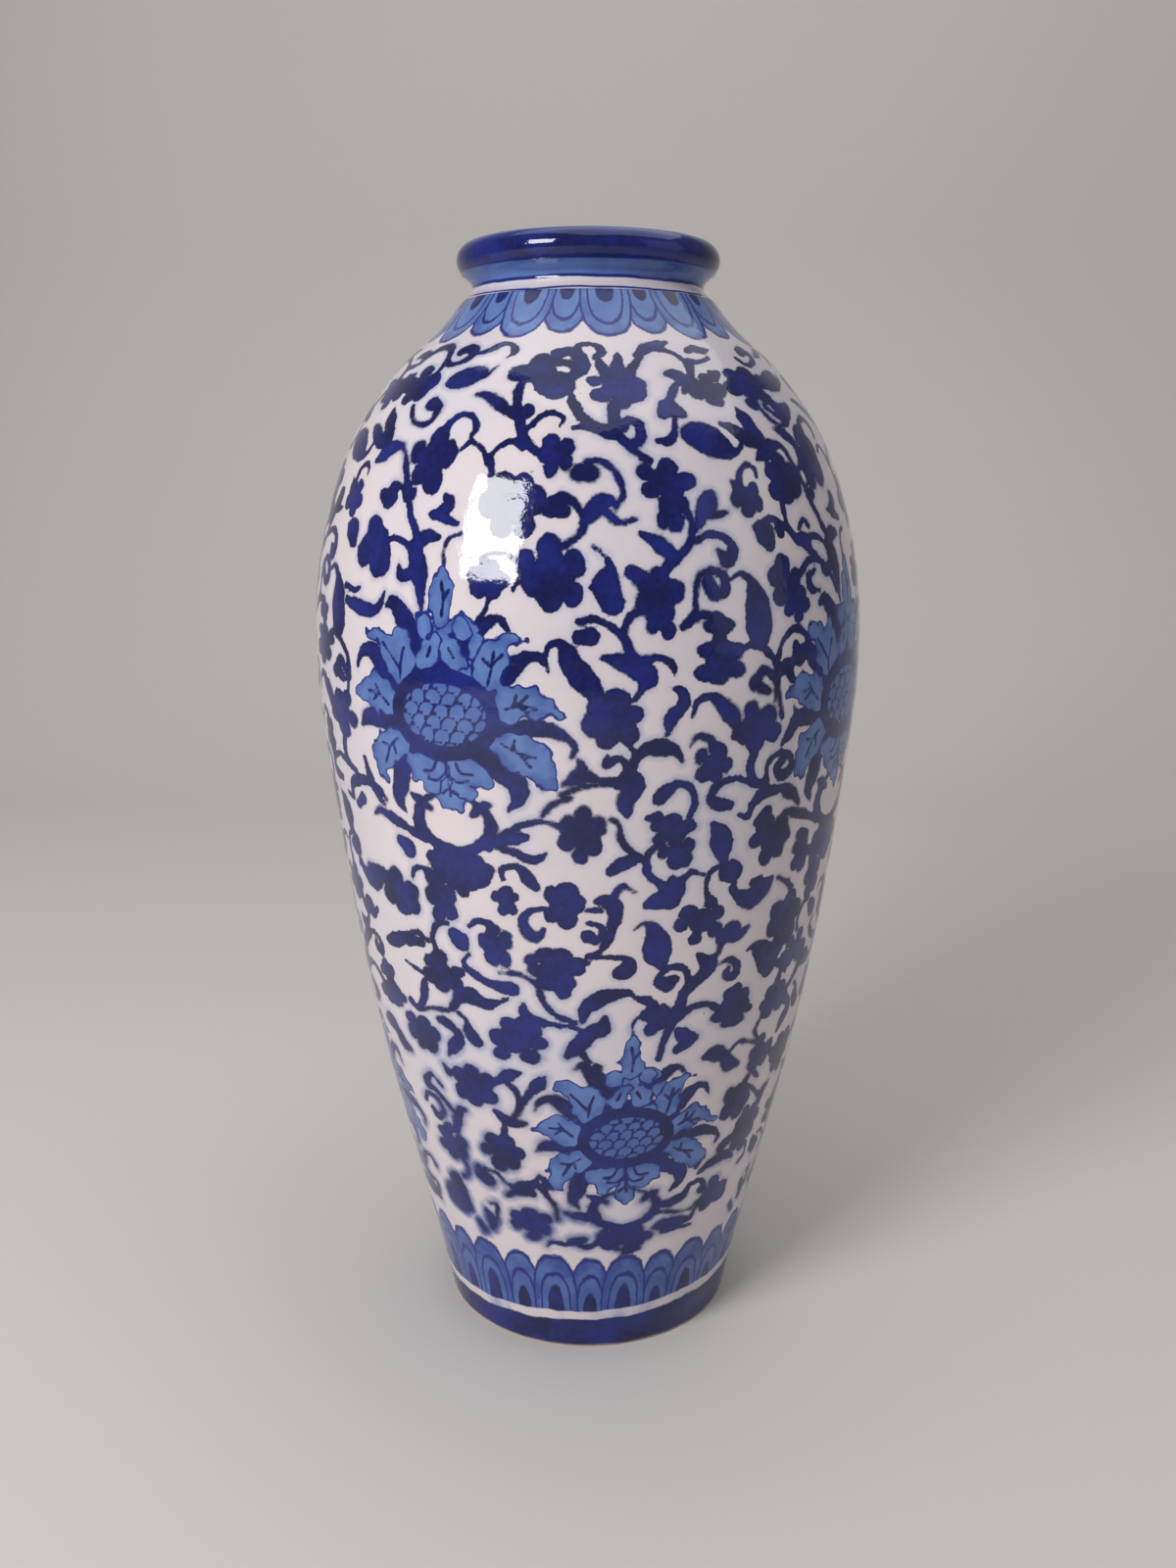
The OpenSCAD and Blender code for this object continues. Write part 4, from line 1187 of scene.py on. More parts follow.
class Mixer:
    """Mixes a glaze from nodes with short calls."""

    def __init__(self, name: str) -> None:
        """Start a new material.

        Args:
            name: Name of the material.
        """
        self.material = bpy.data.materials.new(name)
        self.material.use_nodes = True
        self.nodes = self.material.node_tree.nodes
        self.links = self.material.node_tree.links
        self.shader = self.nodes["Principled BSDF"]
        self.place = self.nodes.new("ShaderNodeTexCoord").outputs["Object"]
        split = self.nodes.new("ShaderNodeSeparateXYZ")
        self.links.new(self.place, split.inputs[0])
        self.x, self.y, self.z = split.outputs

    def feed(self, socket: Socket, value: Value | Colour) -> None:
        """Link an output to a socket, or set it to a number or colour.

        Args:
            socket: The socket to feed.
            value: An output, a number or a colour.
        """
        if isinstance(value, bpy.types.NodeSocket):
            self.links.new(value, socket)
        elif isinstance(value, tuple):
            socket.default_value = (*value, 1.0)
        else:
            socket.default_value = value

    def layer(self, layer: Layer) -> Socket:
        """Return a painted layer's value.

        Args:
            layer: The layer.

        Returns:
            Its value.
        """
        node = self.nodes.new("ShaderNodeAttribute")
        node.attribute_name = layer.value
        return node.outputs["Fac"]

    def number(self, operation: str, a: Value, b: Value = 0.0, c: Value = 0.0) -> Socket:
        """Return the result of one sum.

        Args:
            operation: Name of the sum.
            a: First value.
            b: Second value.
            c: Third value.

        Returns:
            The result.
        """
        node = self.nodes.new("ShaderNodeMath")
        node.operation = operation
        for socket, value in zip(node.inputs, (a, b, c)):
            self.feed(socket, value)
        return node.outputs[0]

    def ramp(self, value: Value, low: Value, high: Value, start: Value = 0.0, end: Value = 1.0) -> Socket:
        """Return a smooth change from start to end as a value goes from low to high.

        Args:
            value: The value.
            low: Where the change starts.
            high: Where it ends.
            start: Result at the start.
            end: Result at the end.

        Returns:
            The result.
        """
        node = self.nodes.new("ShaderNodeMapRange")
        node.interpolation_type = "SMOOTHSTEP"
        for socket, given in zip(node.inputs, (value, low, high, start, end)):
            self.feed(socket, given)
        return node.outputs[0]

    def noise(self, scale: float, detail: float = 2.0, stretch: Point | None = None) -> Socket:
        """Return soft noise between 0 and 1.

        Args:
            scale: Lumps in a metre.
            detail: Number of finer layers.
            stretch: Scale along each axis, where lumps aren't round.

        Returns:
            The noise.
        """
        node = self.nodes.new("ShaderNodeTexNoise")
        node.inputs["Scale"].default_value = scale
        node.inputs["Detail"].default_value = detail
        source = self.place
        if stretch is not None:
            mapping = self.nodes.new("ShaderNodeMapping")
            mapping.inputs["Scale"].default_value = stretch
            self.links.new(source, mapping.inputs["Vector"])
            source = mapping.outputs[0]
        self.links.new(source, node.inputs["Vector"])
        return node.outputs["Fac"]

    def blend(self, share: Value, under: Socket | Colour, over: Socket | Colour) -> Socket:
        """Return one colour laid over another.

        Args:
            share: How much of the upper colour shows.
            under: The lower colour.
            over: The upper colour.

        Returns:
            The mixed colour.
        """
        node = self.nodes.new("ShaderNodeMix")
        node.data_type = "RGBA"
        self.feed(node.inputs["Factor"], share)
        self.feed(node.inputs["A"], under)
        self.feed(node.inputs["B"], over)
        return node.outputs["Result"]

    def inside(self, edge: Value, soft: Value = 0.28) -> Socket:
        """Return 1 inside an edge and 0 outside it."""
        return self.ramp(edge, self.number("MULTIPLY", soft, -1.0), soft, 1.0, 0.0)

    def line(self, edge: Value, at: float = 0.0, half: float = 0.4, soft: float = 0.25) -> Socket:
        """Return 1 on a line along an edge.

        Args:
            edge: Distance from the edge in millimetres.
            at: Where the line lies.
            half: Half its width.
            soft: How far it fades.

        Returns:
            The line.
        """
        away = self.number("ABSOLUTE", self.number("SUBTRACT", edge, at))
        return self.ramp(away, half - soft, half + soft, 1.0, 0.0)


def rgb(red: int, green: int, blue: int) -> Colour:
    """Return a screen colour as the linear colour that a shader takes."""
    shades = (value / 255 for value in (red, green, blue))
    return tuple(v / 12.92 if v <= 0.04045 else ((v + 0.055) / 1.055) ** 2.4 for v in shades)


@dataclass(frozen=True)
class Stripe:
    """The pale stripe above the foot.

    Args:
        middle: Height of its middle in metres.
        lean: How far it is off level, in metres for each metre across.
        wave: How far its edges wander, in metres.
        upper: Where its upper edge fades, in millimetres from the middle.
        lower: Where its lower edge fades.
        stain: Share of blue in its stained places.
    """

    middle: float = 0.0176
    lean: float = -0.055
    wave: float = 0.0034
    upper: tuple[float, float] = (1.6, 2.6)
    lower: tuple[float, float] = (-2.8, -1.8)
    stain: float = 0.8


STRIPE = Stripe()


@dataclass(frozen=True)
class Glaze:
    """A clear glaze over fired clay, the ground of every finish.

    Args:
        name: Name of the material.
        slot: Slot of the record that the finish belongs to, not used.
        ground: Colour of the ground.
        cool: Colour of the ground where the glaze is thick.
        deep: Darkest cobalt.
        bright: Cobalt where the brush left less of it.
        pale: Pale wash.
        mid: Wash between the pale one and cobalt.
        speck: Colour of the iron specks.
        clay: Pale and dark shade of bare clay.
        rough: Lowest and highest roughness.
        ior: How strongly the glaze bends light.
        peel: Strength of the surface's unevenness.
        depth: Height of that unevenness in metres.
        spread: How far the ink crept under the glaze, in millimetres.
    """

    name: str
    slot: str
    ground: Colour = rgb(220, 209, 212)
    cool: Colour = rgb(200, 200, 214)
    deep: Colour = rgb(13, 19, 72)
    bright: Colour = rgb(26, 38, 120)
    pale: Colour = rgb(96, 127, 184)
    mid: Colour = rgb(52, 77, 148)
    speck: Colour = rgb(96, 74, 60)
    clay: tuple[Colour, Colour] = (rgb(196, 176, 150), rgb(150, 112, 82))
    rough: tuple[float, float] = (0.05, 0.13)
    ior: float = 1.52
    peel: float = 0.12
    depth: float = 0.0006
    spread: float = 0.12

    def paint(self, mix: Mixer) -> Socket:
        """Return the colour: here the bare ground."""
        return self.base(mix)

    def base(self, mix: Mixer) -> Socket:
        """Mix the ground's colour, a little cool where the glaze is thick, with a few specks.

        Args:
            mix: The mixer.

        Returns:
            The colour.
        """
        thick = mix.ramp(mix.noise(14, 3), 0.35, 0.75)
        ground = mix.blend(mix.number("MULTIPLY", thick, 0.5), self.ground, self.cool)
        spots = mix.ramp(mix.noise(420, 1), 0.80, 0.84, 0.0, 0.55)
        return mix.blend(spots, ground, self.speck)

    def blue(self, mix: Mixer, tone: Value = 0.0) -> Socket:
        """Mix the cobalt's colour, clouded as the brush left it.

        Args:
            mix: The mixer.
            tone: Strength of the paint, -1 to 1.

        Returns:
            The colour.
        """
        cloud = mix.number("ADD", mix.noise(60, 4), mix.number("MULTIPLY", mix.noise(420, 3), 0.45))
        share = mix.ramp(mix.number("ADD", cloud, mix.number("MULTIPLY", tone, 0.09)), 0.5, 1.0)
        return mix.blend(share, self.deep, self.bright)

    def stripe(self, mix: Mixer, colour: Socket) -> Socket:
        """Lay the pale stripe and the dark foot below it, a little off level.

        Args:
            mix: The mixer.
            colour: The colour above the stripe.

        Returns:
            The colour.
        """
        level = mix.number("MULTIPLY_ADD", mix.x, STRIPE.lean, mix.z)
        shake = mix.number("MULTIPLY_ADD", mix.noise(90, 3), STRIPE.wave, -STRIPE.wave / 2)
        above = mix.number("SUBTRACT", mix.number("ADD", level, shake), STRIPE.middle)
        height = mix.number("MULTIPLY", above, 1 / MM)
        band = mix.ramp(height, *STRIPE.upper, 1.0, 0.0)
        stain = mix.ramp(mix.noise(60, 3), 0.5, 0.72, 0.0, STRIPE.stain)
        bare = mix.blend(stain, self.base(mix), self.pale)
        colour = mix.blend(band, colour, bare)
        dark = mix.ramp(height, *STRIPE.lower, 1.0, 0.0)
        return mix.blend(dark, colour, self.blue(mix))

    def make(self) -> bpy.types.Material:
        """Build the material.

        Returns:
            The material.
        """
        mix = Mixer(self.name)
        mix.feed(mix.shader.inputs["Base Color"], self.paint(mix))
        mix.feed(mix.shader.inputs["Roughness"], mix.ramp(mix.noise(22, 3), 0.3, 0.8, *self.rough))
        mix.shader.inputs["IOR"].default_value = self.ior
        bump = mix.nodes.new("ShaderNodeBump")
        bump.inputs["Strength"].default_value = self.peel
        bump.inputs["Distance"].default_value = self.depth
        dimples = mix.number("MULTIPLY_ADD", mix.noise(50, 1), 2.5, mix.noise(330, 2))
        runs = mix.noise(1, 1, stretch=(75, 75, 14))
        mix.links.new(mix.number("MULTIPLY_ADD", runs, 1.6, dimples), bump.inputs["Height"])
        mix.links.new(bump.outputs[0], mix.shader.inputs["Normal"])
        return mix.material


class PaintedGlaze(Glaze):
    """The walls' finish: blue scrolls, lotuses and borders under clear glaze."""

    # how far an edge wanders in millimetres: finely, broadly and on the petals
    fine_wave: ClassVar[float] = 0.9
    wide_wave: ClassVar[float] = 2.2
    frill_wave: ClassVar[float] = 7.0
    # shares of that wandering on petals and on seeds
    petal_shake: ClassVar[float] = 0.45
    seed_shake: ClassVar[float] = 0.25
    # reach of the pale halo and of the running blue, in millimetres
    halo_reach: ClassVar[float] = 2.6
    run_reach: ClassVar[float] = 4.0
    # heights in metres where the foot's wash ends and where the borders' petals turn lighter
    foot_wash: ClassVar[tuple[float, float]] = (0.036, 0.044)
    lighter: ClassVar[tuple[float, float]] = (0.2, 0.3)
    # place and half width of the line inside a border's petal, in millimetres
    inner_line: ClassVar[tuple[float, float]] = (-3.0, 0.38)

    def paint(self, mix: Mixer) -> Socket:
        """Return the painting's colour.

        Args:
            mix: The mixer.

        Returns:
            The colour.
        """
        fine = mix.number("MULTIPLY_ADD", mix.noise(900, 2), self.fine_wave, -self.fine_wave / 2)
        wide = mix.number("MULTIPLY_ADD", mix.noise(230, 2), self.wide_wave, -self.wide_wave / 2)
        shake = mix.number("ADD", fine, wide)
        patches = mix.ramp(mix.noise(55, 2), 0.3, 0.65, 0.15, 1.0)
        bleed = mix.number("MULTIPLY", mix.layer(Layer.BLEED), patches)
        ink = mix.number("ADD", mix.number("SUBTRACT", mix.layer(Layer.INK), self.spread), shake)
        wet = mix.ramp(mix.noise(26, 2), 0.42, 0.68, 0.06, 0.42)
        halo = mix.number("MULTIPLY", mix.ramp(ink, 0.0, self.halo_reach, 1.0, 0.0), wet)
        colour = mix.blend(halo, self.base(mix), self.pale)
        runs = mix.number("MULTIPLY", mix.ramp(ink, 0.0, self.run_reach, 1.0, 0.0), bleed)
        colour = mix.blend(runs, colour, self.mid)
        foot = mix.number("MULTIPLY", mix.ramp(mix.z, *self.foot_wash, 1.0, 0.0), 0.85)
        wash = mix.blend(mix.noise(70, 3), self.mid, self.pale)
        colour = mix.blend(foot, colour, wash)
        blue = self.blue(mix, mix.layer(Layer.TONE))
        rim = mix.number("MULTIPLY", mix.line(ink, -0.5, 0.5, 0.4), 0.6)
        blue = mix.blend(rim, blue, self.deep)
        feather = mix.ramp(mix.noise(34, 2), 0.45, 0.75, 0.3, 0.85)
        soft = mix.number("MULTIPLY_ADD", bleed, 1.0, feather)
        colour = mix.blend(mix.inside(ink, soft), colour, blue)
        steady = mix.number("MULTIPLY", shake, self.petal_shake)
        waves = mix.number("MULTIPLY_ADD", mix.noise(175, 1), self.frill_wave, -self.frill_wave / 2)
        frill = mix.number("ADD", steady, waves)
        for layer in (Layer.PETAL_BACK, Layer.PETAL_MIDDLE, Layer.PETAL_FRONT):
            colour = self._petal(mix, colour, mix.number("ADD", mix.layer(layer), frill), 0.0)
        low = mix.ramp(mix.z, *self.lighter, 0.45, 0.0)
        for layer in (Layer.LAPPET_BACK, Layer.LAPPET_FRONT):
            edge = mix.number("ADD", mix.layer(layer), steady)
            colour = self._petal(mix, colour, edge, low)
            colour = mix.blend(mix.line(edge, *self.inner_line), colour, self.bright)
        over = mix.number("ADD", mix.layer(Layer.OVER), steady)
        colour = mix.blend(mix.inside(over), colour, blue)
        seed = mix.number("ADD", mix.layer(Layer.SEED), mix.number("MULTIPLY", shake, self.seed_shake))
        colour = mix.blend(mix.inside(seed), colour, wash)
        return self.stripe(mix, colour)

    def _petal(self, mix: Mixer, under: Socket, edge: Socket, dim: Value) -> Socket:
        """Return the colour with one layer of pale outlined petals over it.

        Args:
            mix: The mixer.
            under: The colour under the petals.
            edge: Distance from the petals' edge.
            dim: How much darker the petals are.

        Returns:
            The colour.
        """
        depth = mix.ramp(edge, -4.0, -0.2, 0.35, 0.85)
        cloud = mix.number("MULTIPLY_ADD", depth, mix.ramp(mix.noise(110, 4), 0.3, 0.68), dim)
        fill = mix.blend(cloud, self.pale, self.mid)
        colour = mix.blend(mix.inside(edge), under, fill)
        return mix.blend(mix.line(edge), colour, self.bright)


class FootGlaze(Glaze):
    """The foot's finish: dark cobalt to the stripe, bare clay where it stands."""

    bare: ClassVar[tuple[float, float]] = (0.0012, 0.0022)
    ragged: ClassVar[float] = 0.0012

    def paint(self, mix: Mixer) -> Socket:
        """Return the colour.

        Args:
            mix: The mixer.

        Returns:
            The colour.
        """
        colour = self.stripe(mix, self.base(mix))
        height = mix.number("ADD", mix.z, mix.number("MULTIPLY", mix.noise(80, 2), self.ragged))
        bare = mix.ramp(height, *self.bare, 1.0, 0.0)
        return mix.blend(bare, colour, mix.blend(mix.noise(300, 4), *self.clay))


class NeckGlaze(Glaze):
    """The collar's finish: a white ring, a thin line and a pale blue band."""

    wave: ClassVar[float] = 2.4
    band_from: ClassVar[float] = 433.0
    band_soft: ClassVar[float] = 0.4
    low_line: ClassVar[float] = 428.7

    def paint(self, mix: Mixer) -> Socket:
        """Return the colour.

        Args:
            mix: The mixer.

        Returns:
            The colour.
        """
        shake = mix.number("MULTIPLY_ADD", mix.noise(48, 3), self.wave, -self.wave / 2)
        height = mix.number("MULTIPLY_ADD", mix.z, 1 / MM, shake)
        wash = mix.blend(mix.noise(80, 4), self.pale, self.mid)
        band = mix.ramp(height, self.band_from - self.band_soft, self.band_from + self.band_soft)
        colour = mix.blend(band, self.base(mix), wash)
        colour = mix.blend(mix.line(height, self.band_from, 0.6), colour, self.bright)
        return mix.blend(mix.line(height, self.low_line, 0.42), colour, self.bright)


class RimGlaze(Glaze):
    """The rim's finish: dark cobalt, painted paler towards the top of the roll as painted light on its
    upper side, its underside left darker.
    """

    wave: ClassVar[float] = 2.0
    # heights over which the cobalt is painted paler towards the top: painted light on the roll's upper side
    thin: ClassVar[tuple[float, float]] = (447.0, 451.5)
    white_within: ClassVar[tuple[float, float]] = (0.0400, 0.0425)

    def paint(self, mix: Mixer) -> Socket:
        """Return the colour.

        Args:
            mix: The mixer.

        Returns:
            The colour.
        """
        shake = mix.number("MULTIPLY", mix.noise(70, 3), self.wave)
        height = mix.number("MULTIPLY_ADD", mix.z, 1 / MM, shake)
        # painted light: the cobalt is mixed towards the paler blue nearer the rim's top, so the underside
        # reads as shade
        thin = mix.ramp(height, *self.thin, 0.0, 0.75)
        squares = [mix.number("POWER", side, 2.0) for side in (mix.x, mix.y)]
        around = mix.number("POWER", mix.number("ADD", *squares), 0.5)
        colour = mix.blend(thin, self.blue(mix), self.mid)
        inner = mix.ramp(around, *self.white_within, 1.0, 0.0)
        return mix.blend(inner, colour, self.base(mix))


class Biscuit(Glaze):
    """Fired slip without glaze, as in the joints."""

    def paint(self, mix: Mixer) -> Socket:
        """Return the colour of the fired clay."""
        return mix.blend(mix.noise(300, 4), *self.clay)


@dataclass
class Part:
    """A piece of the jar with its finish.

    Args:
        name: Name of the piece.
        node: The CAD node that it stands for.
        finish: Its finish.
        outline: The jar's outside.
        lip: How deep the joints' open edges are set back, in millimetres.
        gap: Half the height of a joint.
        lap: Height of a joint's tongue.
        slip: Thickness of the slip beside a tongue.
        fine_steps: Steps in which the skin is measured.
    """

    name: str
    node: str
    finish: Glaze
    outline: Outline = field(default_factory=Outline)
    lip: float = 0.6
    gap: float = 0.4
    lap: float = 5.0
    slip: float = 0.8
    fine_steps: int = 2000

    def turn_small(self, skin: int, outline: Sequence[tuple[float, float]]) -> None:
        """Turn a small piece on half the steps, unwrap it, dress it and fit it.

        Args:
            skin: Points of the outline on the outer skin.
            outline: Radius and height of each point.
        """
        piece = Wheel.turn(self.name, outline, COLUMNS // 2)
        Wheel.unwrap(piece, skin, COLUMNS // 2)
        Wheel.throw(piece)
        self.fit(piece, self.finish.make())

    def fit(self, piece: bpy.types.Object, material: bpy.types.Material) -> None:
        """Dress a piece, join it to the frame and report it.

        Args:
            piece: The finished piece.
            material: Its material.
        """
        piece.data.materials.clear()
        piece.data.materials.append(material)
        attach(piece, "root")
        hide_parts(self.node)
        LOG.info("%s: %d faces for %s", piece.name, len(piece.data.polygons), self.node)

    def heights(self, low: float, high: float, count: int) -> np.ndarray:
        """Return heights that are evenly spaced along the skin.

        Args:
            low: Lowest height.
            high: Highest height.
            count: Number of heights.

        Returns:
            The heights.
        """
        fine = np.linspace(low, high, self.fine_steps)
        radii = np.array([self.outline.radius(z) for z in fine])
        arcs = np.concatenate([[0], np.cumsum(np.hypot(np.diff(fine), np.diff(radii)))])
        return np.interp(np.linspace(0, arcs[-1], count), arcs, fine)


@dataclass
class WallSection(Part):
    """A thrown wall between two stepped joints, with its part of the painting.

    Args:
        low: Height of the joint below.
        high: Height of the joint above.
        outer: Rows of points on the skin.
        inner: Rows of points inside.
        half_wall: How far a tongue stands in from the skin.
        top_tongue: Radius of the upper tongue where it isn't at half the wall.
    """

    low: float = 0.0
    high: float = 0.0
    outer: int = 105
    inner: int = 5
    half_wall: float = 4.0
    top_tongue: float | None = None

    def skin(self) -> np.ndarray:
        """Return the heights of the skin's rows."""
        return self.heights(self.low, self.high, self.outer)

    def build(self, canvas: Canvas, first: int, material: bpy.types.Material) -> None:
        """Turn the wall and hand it its painting.

        Args:
            canvas: The painted canvas.
            first: The canvas row where this wall starts.
            material: The glaze.
        """
        line = self.outline
        skin = [(line.radius(z), z) for z in self.skin()]
        (r_low, _), (r_high, _) = skin[0], skin[-1]
        tongue = self.top_tongue or r_high - self.half_wall
        socket = r_low - self.half_wall + self.slip
        top, bottom = self.high - self.gap, self.low + self.gap
        inside = [(line.inside(z), z) for z in np.linspace(top + self.lap, bottom + self.lap, self.inner)]
        if self.top_tongue:
            inside[0] = (line.mouth_r, top + self.lap)
        outline = [*skin, (r_high - self.lip, self.high), (r_high - self.lip, top), (tongue, top),
                   (tongue, top + self.lap), *inside, (socket, bottom + self.lap), (socket, bottom),
                   (r_low - self.lip, bottom), (r_low - self.lip, self.low)]
        piece = Wheel.turn(self.name, outline)
        Wheel.give(piece, canvas, first, self.outer)
        Wheel.unwrap(piece, self.outer)
        Wheel.throw(piece)
        self.fit(piece, material)


@dataclass
class FootRing(Part):
    """The ring that the jar stands on, in millimetres, with a ledge for the floor."""

    height: float = 15.0
    bevel: float = 1.5
    recess_r: float = 51.9
    recess_h: float = 9.0
    ledge_r: float = 58.7
    tongue: float = 4.0
    bevel_steps: int = 5
    skin_rows: int = 14

    def build(self) -> None:
        """Turn the foot ring with rounded standing edges."""
        line = self.outline
        top = self.height - self.gap
        turns = [math.pi / 2 * i / self.bevel_steps for i in range(self.bevel_steps + 1)]
        out = line.radius(self.bevel) - self.bevel
        outer_edge = [(out + self.bevel * math.sin(a), self.bevel * (1 - math.cos(a))) for a in turns]
        inner = self.recess_r + self.bevel
        inner_edge = [(inner - self.bevel * math.cos(a), self.bevel * (1 - math.sin(a))) for a in turns]
        heights = np.linspace(self.bevel, self.height, self.skin_rows)[1:]
        skin = [*outer_edge, *((line.radius(z), z) for z in heights)]
        r_top = line.radius(self.height)
        edge, tongue = r_top - self.lip, r_top - self.tongue
        self.turn_small(len(skin), [
            *skin, (edge, self.height), (edge, top), (tongue, top), (tongue, top + self.lap),
            (self.ledge_r, top + self.lap), (self.ledge_r, self.recess_h),
            (self.recess_r, self.recess_h), *inner_edge])


@dataclass
class NeckCollar(Part):
    """The short collar, in millimetres, waisted between the shoulder and the rim."""

    low: float = 428.0
    high: float = 438.5
    root_r: float = 50.5
    waist_r: float = 46.0
    top_r: float = 50.4
    tongue_r: float = 42.0
    short_lap: float = 2.5
    steps: int = 24

    def build(self) -> None:
        """Turn the collar."""
        skin = []
        for t in np.linspace(0, 1, self.steps):
            end = self.root_r if t < 0.5 else self.top_r
            radius = self.waist_r + (end - self.waist_r) * (1 - math.sin(math.pi * t))
            skin.append((radius, self.low + t * (self.high - self.low)))
        top, bottom = self.high - self.gap, self.low + self.gap
        bore, socket = self.outline.mouth_r, self.tongue_r + self.slip
        upper, lower = self.top_r - self.lip, self.root_r - self.lip
        self.turn_small(self.steps, [
            *skin, (upper, self.high), (upper, top), (self.tongue_r, top),
            (self.tongue_r, top + self.short_lap), (bore, top + self.short_lap),
            (bore, bottom + self.lap), (socket, bottom + self.lap), (socket, bottom),
            (lower, bottom), (lower, self.low)])


@dataclass
class RolledRim(Part):
    """The rounded rim, in millimetres, rolled over from a coil."""

    low: float = 438.5
    top: float = 450.0
    mid_r: float = 45.86
    round_r: float = 6.44
    tongue_r: float = 42.0
    groove: float = 2.5
    steps: int = 36

    def build(self) -> None:
        """Turn the rim: round outside, a half oval inside."""
        mid_z = self.top - self.round_r
        start = -math.asin((mid_z - self.low - self.gap) / self.round_r)
        skin = [(NeckCollar.top_r, self.low)]
        for a in np.linspace(start, math.pi, self.steps):
            wide = self.round_r if a < math.pi / 2 else self.mid_r - self.outline.mouth_r
            skin.append((self.mid_r + wide * math.cos(a), mid_z + self.round_r * math.sin(a)))
        bottom = self.low + self.gap
        socket, edge = self.tongue_r + self.slip, skin[0][0] - self.lip
        self.turn_small(len(skin), [
            *skin, (self.outline.mouth_r, bottom + self.groove), (socket, bottom + self.groove),
            (socket, bottom), (edge, bottom), (edge, self.low)])


@dataclass
class FloorDisc(Part):
    """The disc that closes the bottom, in millimetres, with the rings of the turning tool."""

    radius: float = 57.9
    low: float = 9.8
    high: float = 19.8
    rings: int = 40
    dish: float = 0.5
    tool_mark: float = 0.08
    tool_turn: float = 1.7
    over_rows: int = 12

    def build(self) -> None:
        """Turn the floor with a slightly hollow underside."""
        under = []
        for t in np.linspace(0, 1, self.rings):
            ring = self.tool_mark * math.sin(t * self.rings * self.tool_turn) * (1 - t)
            hollow = self.dish * (1 - t**2) + ring
            under.append((self.radius * t, self.low + hollow))
        over = [(self.radius * t, self.high) for t in np.linspace(1, 0, self.over_rows)]
        piece = Wheel.turn(self.name, [*under, *over], COLUMNS // 4)
        self.fit(piece, self.finish.make())


@dataclass(frozen=True)
class SlipRings:
    """The slip in the joints, which keeps its CAD shape.

    Args:
        prefix: What the names of its CAD nodes start with.
        finish: Its finish.
    """

    prefix: str = "slip_"
    finish: Glaze = Biscuit("fired slip", "fired_slip", clay=(rgb(208, 196, 178), rgb(176, 152, 126)),
                            rough=(0.75, 0.95), peel=0.3)

    def dress(self) -> None:
        """Give every ring of slip its finish."""
        material = self.finish.make()
        for name, node in sorted(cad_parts.items()):
            if name.startswith(self.prefix):
                node.data.materials.clear()
                node.data.materials.append(material)
                LOG.info("%s: dressed in fired slip", name)


@dataclass(frozen=True)
class Lamp:
    """A soft lamp.

    Args:
        name: Name of the lamp.
        place: Where it hangs.
        size: Its width and height.
        power: Its power in watts.
        aim: The point that it faces.
    """

    name: str
    place: Point
    size: tuple[float, float]
    power: float
    aim: Point

    def hang(self) -> None:
        """Hang the lamp."""
        data = bpy.data.lights.new(self.name, "AREA")
        data.shape = "RECTANGLE"
        data.size, data.size_y = self.size
        data.energy = self.power
        lamp = bpy.data.objects.new(self.name, data)
        bpy.context.scene.collection.objects.link(lamp)
        place = Vector(self.place)
        lamp.location = place
        lamp.rotation_euler = (Vector(self.aim) - place).to_track_quat("-Z", "Y").to_euler()


